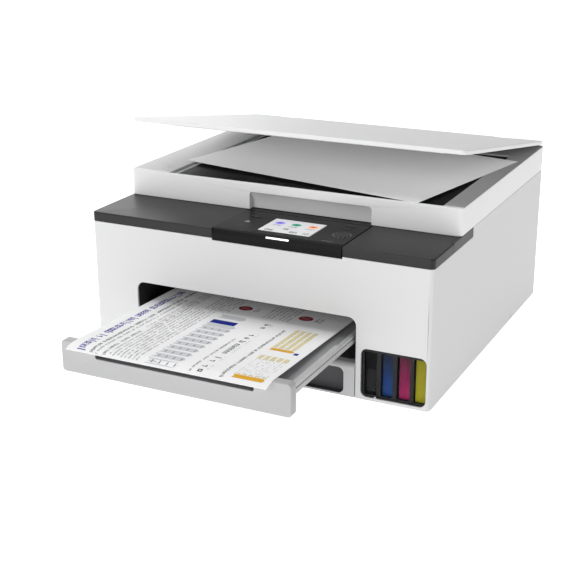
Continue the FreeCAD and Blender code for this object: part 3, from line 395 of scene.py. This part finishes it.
def ink(colour, deep, pale):
    """Ink seen through its tank: deeper towards the top of the fill."""
    finish = Finish("ink_liquid_" + colour, Roughness=0.12, Specular_IOR_Level=0.2)
    rise = (finish.z - level(INK_FLOOR)) / (INK_DEPTH * MM)
    swirl = finish.noise(70.0, 3.0) * 0.35
    ramp = finish.node("ShaderNodeClamp", Value=rise + swirl - 0.15)
    finish.set(Base_Color=finish.mixed(pale + (1.0,), deep + (1.0,), ramp.outputs[0]))
    finish.set(Roughness=0.10 + swirl * 0.1)
    return finish.material


def paper(name, colour, painted_glow):
    """Office paper: fibre mottling and a soft tooth, with a faint emission as painted light."""
    finish = Finish(name, Specular_IOR_Level=0.25, Emission_Strength=painted_glow)
    fibre = finish.noise(1400.0, 4.0)
    cloud = finish.noise(26.0, 2.0)
    mottled = finish.mixed(tone(colour, 0.965), tone(colour, 1.02), fibre * 0.6 + cloud * 0.4)
    finish.set(Base_Color=mottled, Emission_Color=mottled, Roughness=0.82 + fibre * 0.1)
    finish.bump(fibre, 0.10, 0.00008)
    return finish.material


def pad_skin():
    """White vinyl skin of the foam pad, with a fine pressed leather grain."""
    finish = Finish("lid_pad_vinyl", Roughness=0.6)
    cells = finish.node("ShaderNodeTexVoronoi", Vector=finish.place, Scale=900.0)
    depth = Value(finish.tree, cells.outputs["Distance"])
    cloud = finish.noise(14.0, 2.0)
    finish.set(Base_Color=finish.mixed((0.74, 0.74, 0.745, 1), (0.80, 0.80, 0.80, 1), cloud))
    finish.set(Roughness=0.55 + depth * 0.2)
    finish.bump(depth, 0.25, 0.00015)
    return finish.material


def scanner_glass():
    """Dark scanner glass over a black well, with faint dust."""
    finish = Finish("scanner_glass_dark", IOR=1.45, Specular_IOR_Level=0.008)
    dust = finish.noise(500.0, 4.0)
    finish.set(Base_Color=finish.mixed((0.0035, 0.0035, 0.004, 1), (0.007, 0.007, 0.008, 1), dust))
    finish.set(Roughness=0.16 + dust * 0.06, Alpha=0.96 + dust * 0.03)
    return finish.material


def glowing(name, colour, strength):
    finish = Finish(name, Base_Color=colour + (1.0,), Roughness=0.3, Emission_Strength=strength)
    grain = finish.noise(200.0, 1.0)
    finish.set(Emission_Color=finish.mixed(tone(colour, 0.94), tone(colour, 1.0), grain))
    return finish.material


SCREEN_X = (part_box("lcd_screen")[0].x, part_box("lcd_screen")[1].x)
SCREEN_Y = (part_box("lcd_screen")[0].y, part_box("lcd_screen")[1].y)


def touch_screen():
    """Lit screen: pale background with a faint grid of cells and a slight fall in brightness."""
    finish = Finish("touch_screen_lit", Roughness=0.16, Emission_Strength=0.22)
    cells = finish.node("ShaderNodeTexBrick", {"offset": 0.0}, Vector=finish.place, Scale=5200.0,
                        Color1=grey(0.80), Color2=grey(0.77), Mortar=grey(0.70))
    fall = (finish.y - SCREEN_Y[0]) / (SCREEN_Y[1] - SCREEN_Y[0])
    face = finish.mixed(cells.outputs[0], (0.72, 0.72, 0.80, 1), fall * 0.5)
    edge = (finish.x - sum(SCREEN_X) / 2).size() > ((SCREEN_X[1] - SCREEN_X[0]) / 2 - 0.0006)
    shown = finish.mixed(face, grey(0.5), edge)
    finish.set(Base_Color=shown, Emission_Color=shown)
    finish.set(Roughness=0.14 + finish.noise(300.0) * 0.06)
    return finish.material


def printed(name, colour, roughness=0.8):
    """Ink jetted on paper: slightly uneven coverage."""
    finish = Finish(name, Specular_IOR_Level=0.2)
    cover = finish.noise(1800.0, 2.0)
    finish.set(Base_Color=finish.mixed(tone(colour, 0.85), tone(colour, 1.12), cover))
    finish.set(Roughness=roughness - 0.05 + cover * 0.1)
    return finish.material


# ---------------------------------------------------------------- carrying CAD nodes over
def link(obj):
    bpy.context.scene.collection.objects.link(obj)
    return obj


def paint(obj, material):
    obj.data.materials.clear()
    obj.data.materials.append(material)


def plain_mesh(obj, name):
    """The evaluated object as an ordinary mesh object, its modifiers gone."""
    bpy.context.view_layer.update()
    evaluated = obj.evaluated_get(bpy.context.evaluated_depsgraph_get())
    mesh = bpy.data.meshes.new_from_object(evaluated, depsgraph=bpy.context.evaluated_depsgraph_get())
    bpy.data.objects.remove(obj)
    mesh.name = name
    return link(bpy.data.objects.new(name, mesh))


WELD_DISTANCE = 0.002 * MM
FLAT_ANGLE = math.radians(0.8)
SOFT_EDGE_ANGLE = math.radians(32)
FINE_EDGE_ANGLE = math.radians(18)
FINE_EDGED = {"control_panel"}


def softened(node, material, width, name, steps=2):
    """A copy of a CAD node with its sharp moulding edges broken, standing in for the node."""
    mesh = NODES[node].data.copy()
    work = bmesh.new()
    work.from_mesh(mesh)
    bmesh.ops.remove_doubles(work, verts=work.verts, dist=WELD_DISTANCE)
    bmesh.ops.dissolve_limit(work, angle_limit=FLAT_ANGLE, verts=work.verts, edges=work.edges)
    for face in work.faces:
        face.smooth = True
    work.to_mesh(mesh)
    work.free()
    if mesh.has_custom_normals:
        mesh.normals_split_custom_set([(0, 0, 0)] * len(mesh.loops))
    rough = link(bpy.data.objects.new(name + "_rough", mesh))
    break_angle = FINE_EDGE_ANGLE if node in FINE_EDGED else SOFT_EDGE_ANGLE
    mesh.set_sharp_from_angle(angle=break_angle)
    bevel = rough.modifiers.new("edge_break", "BEVEL")
    bevel.width, bevel.segments, bevel.limit_method = width, steps, "ANGLE"
    bevel.angle_limit = break_angle
    bevel.use_clamp_overlap = False
    bevel.harden_normals = True
    piece = plain_mesh(rough, name)
    paint(piece, material)
    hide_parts(node)
    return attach(piece, BODY_OF[node])


# Node: material, edge width in millimetres, name of the copy.
SOFTENED = {
    "outer_case": ("case", 0.35, "case_shell"),
    "deck_left": ("deck", 0.35, "deck_left_trim"),
    "deck_right": ("deck", 0.35, "deck_right_trim"),
    "deck_side_cap": ("deck", 0.35, "deck_side_trim"),
    "control_panel": ("panel", 0.25, "panel_shell"),
    "scanner_frame": ("frame", 0.35, "scanner_bezel"),
    "lid_cover": ("lid", 0.4, "lid_shell"),
    "tray_lip": ("tray_lip", 0.4, "tray_front_lip"),
    "output_tray": ("tray", 0.3, "tray_plate"),
    "cassette_front": ("cassette_front", 0.45, "cassette_face"),
    "rear_panel": ("case", 0.3, "rear_plate"),
    "rear_access_cover": ("case", 0.4, "rear_cover"),
    "lcd_screen": ("screen", 0.15, "screen_glass"),
}

CARRIED = {
    "bottom_case": "chassis", "panel_well": "chassis", "inner_cover": "inner", "bay_liner": "liner",
    "ink_window": "window", "ink_tanks": "tank", "ink_black": "ink_black", "ink_cyan": "ink_cyan",
    "ink_magenta": "ink_magenta", "ink_yellow": "ink_yellow", "cap_black": "cap_black",
    "cap_cyan": "cap_cyan", "cap_magenta": "cap_magenta", "cap_yellow": "cap_yellow",
    "engine_frame": "sheet_steel", "carriage_rail": "steel", "platen": "engine",
    "drive_motors": "sheet_steel", "purge_unit": "engine", "power_supply": "engine",
    "main_board": "circuit", "rubber_feet": "rubber", "case_screws": "screw",
    "paper_turn_guide": "engine", "print_carriage": "engine", "print_heads": "inner",
    "feed_roller": "tyre", "feed_gear": "acetal", "idler_gear": "acetal", "eject_roller": "tyre",
    "motor_pinion": "brass", "pickup_roller": "tyre", "printed_sheet": "paper",
    "cassette_bin": "bin", "side_guide_left": "acetal", "side_guide_right": "acetal",
    "status_bar": "light_bar", "power_button": "key", "stop_button": "key",
    "black_start_button": "key", "colour_start_button": "key", "scanner_base": "chassis",
    "platen_glass": "glass", "scan_carriage": "engine", "original_sheet": "original",
}


PAD_SOFTNESS, PAD_STEPS = 1.1, 3


def carry_nodes(made):
    for node, (material, width, name) in SOFTENED.items():
        softened(node, made[material], width * MM, name)
    for node, material in CARRIED.items():
        paint(NODES[node], made[material])


# ---------------------------------------------------------------- geometry-node kit
class Tree:
    """A geometry node tree written as calls, with named inputs."""

    def __init__(self, name, **inputs):
        self.group = bpy.data.node_groups.new(name, "GeometryNodeTree")
        self.group.interface.new_socket("Geometry", in_out="OUTPUT", socket_type="NodeSocketGeometry")
        for label, kind in inputs.items():
            self.group.interface.new_socket(label.replace("_", " "), in_out="INPUT", socket_type=kind)
        self.inputs = self.group.nodes.new("NodeGroupInput")
        self.result = self.group.nodes.new("NodeGroupOutput")

    def given(self, label):
        return self.inputs.outputs[label]

    def node(self, kind, settings=None, sockets=None):
        made = self.group.nodes.new(kind)
        for name, setting in (settings or {}).items():
            setattr(made, name, setting)
        for name, content in (sockets or {}).items():
            socket = made.inputs[name]
            if isinstance(content, bpy.types.NodeSocket):
                self.group.links.new(content, socket)
            else:
                socket.default_value = content
        return made

    def maths(self, operation, first, second):
        made = self.node("ShaderNodeMath", {"operation": operation}, {0: first, 1: second})
        return made.outputs[0]

    def finish(self, geometry):
        real = self.node("GeometryNodeRealizeInstances", None, {"Geometry": geometry})
        coated = self.node("GeometryNodeSetMaterial", None,
                           {"Geometry": real.outputs[0], "Material": self.given("Finish")})
        self.group.links.new(coated.outputs[0], self.result.inputs[0])
        return self

    def build(self, name, **values):
        """Run the tree with these inputs and return the plain mesh object."""
        carrier = link(bpy.data.objects.new(name + "_seed", bpy.data.meshes.new(name + "_seed")))
        modifier = carrier.modifiers.new("made_by_rule", "NODES")
        modifier.node_group = self.group
        identifiers = {item.name: item.identifier for item in self.group.interface.items_tree
                       if item.in_out == "INPUT"}
        for label, value in values.items():
            modifier[identifiers[label.replace("_", " ")]] = value
        return plain_mesh(carrier, name)


# Strokes (x0, x1, y0, y1) of the invented marks, in shares of a letter's width and height.
GLYPHS = (
    ((-0.30, 0.30, -0.34, -0.16), (-0.30, 0.30, 0.16, 0.34),
     (-0.30, -0.12, -0.34, 0.34), (0.12, 0.30, -0.34, 0.34)),
    ((-0.30, 0.30, 0.16, 0.34), (-0.30, -0.12, -0.34, 0.34), (0.12, 0.30, -0.34, 0.10)),
    ((-0.10, 0.10, -0.34, 0.62),),
    ((-0.30, 0.30, -0.34, -0.18), (-0.30, 0.30, -0.06, 0.08),
     (-0.30, -0.12, -0.34, 0.20), (-0.10, 0.24, 0.20, 0.34)),
    ((-0.30, -0.12, -0.34, 0.34), (0.12, 0.30, -0.34, 0.60), (-0.14, 0.14, -0.34, -0.18)),
    ((-0.24, -0.06, -0.34, 0.34), (-0.08, 0.26, 0.12, 0.32)),
)


def greeked_tree():
    """Rows of small stroke clusters with gaps between words: printing that spells nothing."""
    tree = Tree("greeked_lines", Length="NodeSocketFloat", Letters="NodeSocketInt",
                Rows="NodeSocketInt", Row_Pitch="NodeSocketFloat", Height="NodeSocketFloat",
                Stroke="NodeSocketFloat", Word_Gap="NodeSocketFloat", Seed="NodeSocketInt",
                Finish="NodeSocketMaterial")
    gaps = tree.maths("SUBTRACT", tree.given("Rows"), 1.0)
    across = tree.maths("MULTIPLY", gaps, tree.given("Row Pitch"))
    grid = tree.node("GeometryNodeMeshGrid", None,
                     {"Size X": tree.given("Length"), "Size Y": across,
                      "Vertices X": tree.given("Letters"), "Vertices Y": tree.given("Rows")})
    gap = tree.node("FunctionNodeRandomValue", {"data_type": "BOOLEAN"},
                    {"Probability": tree.given("Word Gap"), "Seed": tree.given("Seed")})
    kept = tree.node("GeometryNodeDeleteGeometry", {"domain": "POINT"},
                     {"Geometry": grid.outputs[0], "Selection": gap.outputs[3]})
    glyphs = tree.node("GeometryNodeJoinGeometry")
    for strokes in GLYPHS:
        glyph = tree.node("GeometryNodeJoinGeometry")
        for x0, x1, y0, y1 in strokes:
            bar = tree.node("GeometryNodeMeshGrid", None,
                            {"Size X": x1 - x0, "Size Y": y1 - y0, "Vertices X": 2, "Vertices Y": 2})
            moved = tree.node("GeometryNodeTransform", None,
                              {"Geometry": bar.outputs[0],
                               "Translation": ((x0 + x1) / 2, (y0 + y1) / 2, 0)})
            tree.group.links.new(moved.outputs[0], glyph.inputs[0])
        single = tree.node("GeometryNodeGeometryToInstance", None, {"Geometry": glyph.outputs[0]})
        tree.group.links.new(single.outputs[0], glyphs.inputs[0])
    pick = tree.node("FunctionNodeRandomValue", {"data_type": "INT"},
                     {4: 0, 5: len(GLYPHS) - 1, "Seed": tree.maths("ADD", tree.given("Seed"), 3.0)})
    size = tree.node("ShaderNodeCombineXYZ", None,
                     {0: tree.given("Stroke"), 1: tree.given("Height"), 2: 1.0})
    placed = tree.node("GeometryNodeInstanceOnPoints", None,
                       {"Points": kept.outputs[0], "Instance": glyphs.outputs[0], "Pick Instance": True,
                        "Instance Index": pick.outputs[2], "Scale": size.outputs[0]})
    return tree.finish(placed.outputs[0])


def ring_tree():
    """Small bars set around a circle, each turned to point outwards."""
    tree = Tree("bars_around_ring", Radius="NodeSocketFloat", Count="NodeSocketInt",
                Bar_Length="NodeSocketFloat", Bar_Width="NodeSocketFloat", Finish="NodeSocketMaterial")
    circle = tree.node("GeometryNodeMeshCircle", None,
                       {"Vertices": tree.given("Count"), "Radius": tree.given("Radius")})
    bar = tree.node("GeometryNodeMeshGrid", None,
                    {"Size X": tree.given("Bar Length"), "Size Y": tree.given("Bar Width"),
                     "Vertices X": 3, "Vertices Y": 2})
    position = tree.node("GeometryNodeInputPosition")
    aim = tree.node("FunctionNodeAlignRotationToVector", {"axis": "Y"}, {"Vector": position.outputs[0]})
    placed = tree.node("GeometryNodeInstanceOnPoints", None,
                       {"Points": circle.outputs[0], "Instance": bar.outputs[0],
                        "Rotation": aim.outputs[0]})
    return tree.finish(placed.outputs[0])


# ---------------------------------------------------------------- printed page
SHEET_FLAT_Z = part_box("printed_sheet")[0].z
SHEET_SLOPE = math.tan(math.radians(2.0))
PAPER_THICK = 0.00025
# The sheet's underside near the lip: distance back from the body's front face, and height.
LIP_REST = (-124.5, 66.2)
DROOP = ((-147.0, 63.3), (-142.0, 64.8), (-138.0, 65.7), (-134.5, 66.2))


def sheet_top(y):
    """Height of the printed sheet's upper face at a distance from the front."""
    place = (y - BODY_FRONT) / MM
    for (near, low), (far, high) in zip(DROOP, DROOP[1:] + (LIP_REST,)):
        if place <= far:
            return level(low + (high - low) * (place - near) / (far - near)) + PAPER_THICK
    falling = level(LIP_REST[1]) - (place - LIP_REST[0]) * MM * SHEET_SLOPE
    return max(falling, SHEET_FLAT_Z) + PAPER_THICK


def lay_on_sheet(piece, centre_x, centre_y, quarter_turn, lift=PAPER_LIFT):
    """Move a flat drawing onto the sheet, turned so its lines run from front to back."""
    for vertex in piece.data.vertices:
        along, across = vertex.co.x, vertex.co.y
        if quarter_turn:
            along, across = across, along
        x = centre_x * MM + along
        y = BODY_FRONT + centre_y * MM + across
        vertex.co = (x, y, sheet_top(y) + lift)
    face_up(piece)
    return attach(piece, "printed_sheet")


def face_up(piece):
    work = bmesh.new()
    work.from_mesh(piece.data)
    work.normal_update()
    for face in work.faces:
        if face.normal.z < 0:
            face.normal_flip()
    work.to_mesh(piece.data)
    work.free()


def flat_shapes(name, outlines, material):
    """Several flat outlines in one mesh, with x along the page's width and y towards the back."""
    work = bmesh.new()
    for outline in outlines:
        work.faces.new([work.verts.new((x * MM, y * MM, 0.0)) for x, y in outline])
    mesh = bpy.data.meshes.new(name)
    work.to_mesh(mesh)
    work.free()
    mesh.materials.append(material)
    return link(bpy.data.objects.new(name, mesh))


def rectangle(x0, x1, y0, y1):
    return [(x0, y0), (x1, y0), (x1, y1), (x0, y1)]


def ellipse(x, y, radius_x, radius_y, count=28):
    angles = [2 * math.pi * step / count for step in range(count)]
    return [(x + radius_x * math.cos(a), y + radius_y * math.sin(a)) for a in angles]


def arrow(x0, x1, y0, y1, notch):
    """A band across the page whose two ends are cut to a chevron."""
    middle = (y0 + y1) / 2
    return [(x0, y0), (x1, y0), (x1 + notch, middle), (x1, y1), (x0, y1), (x0 + notch, middle)]


INKS = {
    "black": (0.022, 0.022, 0.026), "blue": (0.055, 0.045, 0.36), "deep_blue": (0.012, 0.025, 0.28),
    "grey": (0.68, 0.69, 0.72), "mid_grey": (0.26, 0.26, 0.27), "red": (0.42, 0.02, 0.03),
    "pale_red": (0.62, 0.30, 0.31), "sand": (0.80, 0.71, 0.42), "orange": (0.78, 0.42, 0.03),
}

ONE_ROW = (1, 3.0)
# Blocks of printing: name, ink, centre (x, y), row (length, letters, letter height), rows (count,
# pitch), share of letters left out, seed, and how far each letter fills its room.
PAGE_LINES = (
    ("heading", "blue", (-106, -20), (246, 56, 7.8), ONE_ROW, 0.10, 4, 1.5),
    ("subheading", "black", (-93.5, -28), (232, 96, 3.4), ONE_ROW, 0.14, 9, 1.35),
    ("strapline", "mid_grey", (-87.5, -62), (165, 78, 2.6), ONE_ROW, 0.16, 2, 1.35),
    ("side_title", "black", (-79.5, -112), (64, 30, 3.0), ONE_ROW, 0.14, 6, 1.35),
    ("story", "mid_grey", (-59, -71), (143, 81, 1.9), (8, 4.2), 0.15, 11, 1.35),
    ("story_end", "mid_grey", (-76.5, -10), (116, 62, 1.9), (3, 3.8), 0.2, 14, 1.35),
    ("far_story", "mid_grey", (-45, 38), (66, 40, 1.9), (7, 4.2), 0.2, 15, 1.35),
    ("far_story_right", "mid_grey", (20, 40), (62, 38, 1.9), (7, 4.4), 0.2, 16, 1.35),
    ("caption", "black", (11.5, -100), (84, 50, 1.9), ONE_ROW, 0.14, 17, 1.35),
    ("table_title", "black", (43.0, -78), (128, 60, 3.0), ONE_ROW, 0.13, 19, 1.35),
    ("beside_red", "black", (-8, 25.5), (9, 5, 2.0), (2, 3.0), 0.1, 23, 1.35),
    ("beside_second_red", "black", (61, 26), (11, 5, 3.0), (2, 4.4), 0.1, 24, 1.35),
)
# The chart's figures (y, length), its bars, the seals and the tables (name, x, y, columns).
FIGURES = ((-135, 9), (-112.5, 9), (-85, 19), (-66, 9), (-46.5, 9), (-14, 9))
FIGURE_X, NOTE_X = 20.5, 26.5
BAR_PLACES = (-144, -132, -120, -108, -96, -84, -72, -60, -48, -38)
BAR_DEPTH, BAR_NOTCH = 9.2, 3.5
SEAL_PLACES = (-21.6, 46.4)
TABLES = (("near", (52, 84), (-140, -83), 5), ("far", (52, 77.5), (-68, -9), 4))
LETTER_RISE = 1.25


class Page:
    """The delivered sheet's printing, laid on it block by block."""

    def __init__(self, greeked):
        self.greeked = greeked
        self.inks = {name: printed("page_ink_" + name, colour) for name, colour in INKS.items()}

    def lines(self, name, ink_used, centre, row, rows, gap, seed, bold):
        length, letters, height = row
        count, pitch = rows
        piece = self.greeked.build("page_" + name, Length=length * MM, Letters=letters, Rows=count,
                                   Row_Pitch=pitch * MM, Height=height * MM * LETTER_RISE,
                                   Stroke=length * MM / letters * bold, Word_Gap=gap, Seed=seed,
                                   Finish=self.inks[ink_used])
        lay_on_sheet(piece, centre[0], centre[1], True)

    def shapes(self, name, outlines, ink_used, lift=PAPER_LIFT):
        lay_on_sheet(flat_shapes("page_" + name, outlines, self.inks[ink_used]), 0, 0, False, lift)


def print_page(greeked):
    """Headings, stories, a bar chart, two seals and two tables."""
    page = Page(greeked)
    over = 2 * PAPER_LIFT
    for block in PAGE_LINES:
        page.lines(*block)
    for index, (y, span) in enumerate(FIGURES):
        page.lines("figure_%d" % (index + 1), "black", (FIGURE_X, y),
                   (span, max(2, round(span / 3.6)), 5.4), ONE_ROW, 0.0, 31 + index, 1.5)
        page.lines("figure_note_%d" % (index + 1), "grey", (NOTE_X, y + 4),
                   (span, max(4, span // 2), 2.2), ONE_ROW, 0.1, 41 + index, 1.3)
    page.shapes("chart_bars", [arrow(-36, -5, y, y + BAR_DEPTH, BAR_NOTCH) for y in BAR_PLACES], "grey")
    dots = [rectangle(x, x + 1.2, y, y + 4.5) for y in range(-142, -34, 12) for x in (-30, -22, -14, -6)]
    page.shapes("chart_marks", dots, "mid_grey", over)
    page.shapes("chart_key", [rectangle(-34, -6.5, -28, -18)], "deep_blue")
    page.shapes("chart_cap", [arrow(-34, -7, -12, -2, 3)], "grey")
    page.shapes("red_seals", [ellipse(x, 25.5, 7.6, 6.6) for x in SEAL_PLACES], "red")
    stripes = [rectangle(x - 4.6, x + 4.6, y - 0.5, y + 0.5)
               for x in SEAL_PLACES for y in (23.2, 25.4, 27.6)]
    page.shapes("seal_lines", stripes, "pale_red", over)
    for index, (side, (x0, x1), (y0, y1), columns) in enumerate(TABLES):
        pitch = (x1 - x0) / columns
        page.shapes(side + "_table_strip", [arrow(x0, x1 - 2, y0, y0 + 5.5, 1.6)], "orange", over)
        bands = [rectangle(x0 + pitch * (step + 0.1), x0 + pitch * (step + 0.78), y0 + 7, y1)
                 for step in range(columns)]
        page.shapes(side + "_table_bands", bands, "sand")
        page.lines(side + "_table_text", "mid_grey", ((x0 + x1) / 2, (y0 + y1) / 2 + 3),
                   (y1 - y0 - 8, 16, 0.8), (columns * 2, pitch / 2), 0.4, 51 + index, 1.0)
    page.shapes("blue_stamp", [rectangle(78.5, 83, -71, -66)], "deep_blue")


# ---------------------------------------------------------------- panel and screen marks
SCREEN_TOP_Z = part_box("lcd_screen")[1].z


def lay_flat(piece, centre, height, body):
    for vertex in piece.data.vertices:
        vertex.co = (centre[0] * MM + vertex.co.x, BODY_FRONT + centre[1] * MM + vertex.co.y, height)
    face_up(piece)
    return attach(piece, body)


PANEL_TOP = 151.0
HOME_MARK = (-23, 35), ((-2.6, -2), (2.6, -2), (2.6, 0.6), (0, 2.8), (-2.6, 0.6))
BACK_MARK = (-23, 19.6), ((-2.2, 0), (1.2, 1.9), (1.2, 1.0), (-0.4, 0), (1.2, -1.0),
                          (1.2, -1.9))
START_CENTRE = (81.0, 33)
ICONS = (("violet", (0.26, 0.20, 0.80), 9.6), ("green", (0.02, 0.32, 0.17), 27.6),
         ("orange", (0.86, 0.30, 0.10), 46.0))
ICON_Y = 43.0
# Dark marks on the screen: x, y, length, height.
SCREEN_WORDS = ((8.9, 18.5, 8, 6.0), (24.0, 26.0, 5, 6.0), (35.0, 19.5, 7, 6.5), (48.5, 19.5, 7, 6.5),
                (27.6, 34.6, 9, 2.2), (9.6, 35.0, 8, 2.2), (46.4, 34.8, 9, 2.2))


def short_words(greeked, name, length, letters, height, stroke, seed, finish):
    """One row of invented letters with no gaps."""
    return greeked.build(name, Length=length * MM, Letters=letters, Rows=1, Row_Pitch=MM,
                         Height=height * MM, Stroke=stroke * MM, Word_Gap=0.0, Seed=seed, Finish=finish)


def mark_panel(ring, greeked):
    legend = printed("panel_legend_grey", (0.36, 0.36, 0.37), 0.5)
    faint = printed("panel_legend_faint", (0.10, 0.10, 0.105), 0.5)

    def lay(piece, centre):
        lay_flat(piece, centre, level(PANEL_TOP) + PAPER_LIFT, "control_panel")

    for name, ((x, y), corners), finish in (("panel_home_mark", HOME_MARK, legend),
                                            ("panel_back_mark", BACK_MARK, faint)):
        lay(flat_shapes(name, [[(x + dx, y + dy) for dx, dy in corners]], finish), (0, 0))
    lay(short_words(greeked, "panel_start_label", 10, 6, 2.2, 2.0, 3, legend), (76.4, 8.5))
    lay(short_words(greeked, "panel_stop_label", 9, 6, 1.6, 1.6, 5, faint), (76.5, 68.0))
    lay(ring.build("panel_start_ring", Radius=8.8 * MM, Count=12, Bar_Length=2.4 * MM,
                   Bar_Width=1.1 * MM, Finish=legend), START_CENTRE)


def light_screen(greeked):
    z = SCREEN_TOP_Z + PAPER_LIFT
    for colour, shade, x in ICONS:
        disc = flat_shapes("screen_icon_" + colour, [ellipse(x, ICON_Y, 5.2, 4.4)],
                           glowing("screen_glow_" + colour, shade, 0.55))
        lay_flat(disc, (0, 0), z, "control_panel")
        glyph = flat_shapes("screen_glyph_" + colour, [rectangle(x - 2.4, x + 2.0, 41.2, 45.2)],
                            glowing("screen_glyph_tone_" + colour, tone(shade, 0.45)[:3], 0.3))
        lay_flat(glyph, (0, 0), z + PAPER_LIFT, "control_panel")
    dark = glowing("screen_text_dark", (0.03, 0.04, 0.04), 0.02)
    for index, (x, y, length, height) in enumerate(SCREEN_WORDS):
        words = short_words(greeked, "screen_words_%d" % (index + 1), length - 1.5, max(3, length // 2),
                            height, 3.4, 60 + index, dark)
        lay_flat(words, (x, y), z, "control_panel")


# ---------------------------------------------------------------- small marks on the body
RIM_TOP = 178.8
RIM_MARKS = ((-156, 92), (-156, 104), (-151, 98))
RIM_ARROW = ((-147, 82), (-142.5, 84.5), (-147, 87))
REFERENCE_STRIP = (-139.5, -133.5, 80.5, 300)
FILL_MARK = ((-1.6, 0.0), (1.6, 0.0), (0.0, 2.2))
FILL_MARK_X, FILL_MARK_Z, FILL_MARK_DEPTH = 132, 1.9, 0.15


def mark_body(made):
    """Moulded marks on the scanner's rim, the strip beside the glass and the fill mark."""
    rim_top = level(RIM_TOP) + PAPER_LIFT
    moulded_mark = printed("rim_moulded_mark", (0.52, 0.52, 0.53), 0.5)
    for index, (x, y) in enumerate(RIM_MARKS):
        sign = flat_shapes("rim_size_mark_%d" % (index + 1), [rectangle(x - 2, x + 2, y - 1, y + 1)],
                           moulded_mark)
        lay_flat(sign, (0, 0), rim_top, "scanner_unit")
    corner = flat_shapes("rim_corner_arrow", [RIM_ARROW], moulded_mark)
    lay_flat(corner, (0, 0), rim_top, "scanner_unit")
    strip = flat_shapes("glass_reference_strip", [rectangle(*REFERENCE_STRIP)], made["light_strip"])
    lay_flat(strip, (0, 0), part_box("platen_glass")[1].z + PAPER_LIFT, "scanner_unit")
    front_mark = flat_shapes("window_fill_mark", [FILL_MARK], made["case"])
    for vertex in front_mark.data.vertices:
        vertex.co = (FILL_MARK_X * MM + vertex.co.x, BODY_FRONT + FILL_MARK_DEPTH * MM,
                     level(FILL_MARK_Z) + vertex.co.y)
    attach(front_mark, "chassis")


# ---------------------------------------------------------------- stage and light
# Area lights: name, place in metres, size, power in watts.
SOFTBOXES = (
    ("key_softbox", (-0.45, -2.3, 0.75), 1.6, 23.0),
    ("rear_left_softbox", (-1.5, 1.6, 0.9), 1.3, 10.0),
    ("overhead_softbox", (-0.6, 0.1, 1.8), 1.5, 15.0),
    ("right_softbox", (1.9, 0.2, 0.7), 1.5, 3.0),
)
LIGHTS_AIM = Vector((0, 0, 0.1))
WORLD_STRENGTH, FLOOR_GLOW = 0.36, 0.88
FLOOR_SIZE, FLOOR_DROP = 30.0, -0.0003


def plain_stage():
    """A pale, faintly glowing floor, an even white sky and four soft area lights."""
    finish = Finish("studio_floor_white", Roughness=0.95, Emission_Strength=FLOOR_GLOW)
    cloud = finish.noise(1.2, 1.0)
    finish.set(Base_Color=finish.mixed(grey(0.60), grey(0.62), cloud), Emission_Color=grey(1.0))
    bpy.ops.mesh.primitive_plane_add(size=FLOOR_SIZE, location=(0, 0, FLOOR_DROP))
    floor = bpy.context.object
    floor.name = "studio_floor"
    paint(floor, finish.material)
    world = bpy.data.worlds.new("studio")
    world.use_nodes = True
    sky = world.node_tree.nodes["Background"]
    sky.inputs[0].default_value = grey(1.0)
    sky.inputs[1].default_value = WORLD_STRENGTH
    bpy.context.scene.world = world
    for light in SOFTBOXES:
        softbox(*light)
    bpy.context.scene.view_settings.view_transform = "Standard"


def softbox(name, place, size, power):
    data = bpy.data.lights.new(name, "AREA")
    data.size, data.energy = size, power
    lamp = link(bpy.data.objects.new(name, data))
    lamp.location = place
    aim = LIGHTS_AIM - Vector(place)
    lamp.rotation_euler = aim.to_track_quat("-Z", "Y").to_euler()


# ---------------------------------------------------------------- making it
def main():
    set_camera()
    plain_stage()
    made = make_materials()
    carry_nodes(made)
    softened("lid_pad", made["pad"], PAD_SOFTNESS * MM, "lid_foam_pad", PAD_STEPS)
    greeked = greeked_tree()
    print_page(greeked)
    mark_panel(ring_tree(), greeked)
    light_screen(greeked)
    mark_body(made)


main()
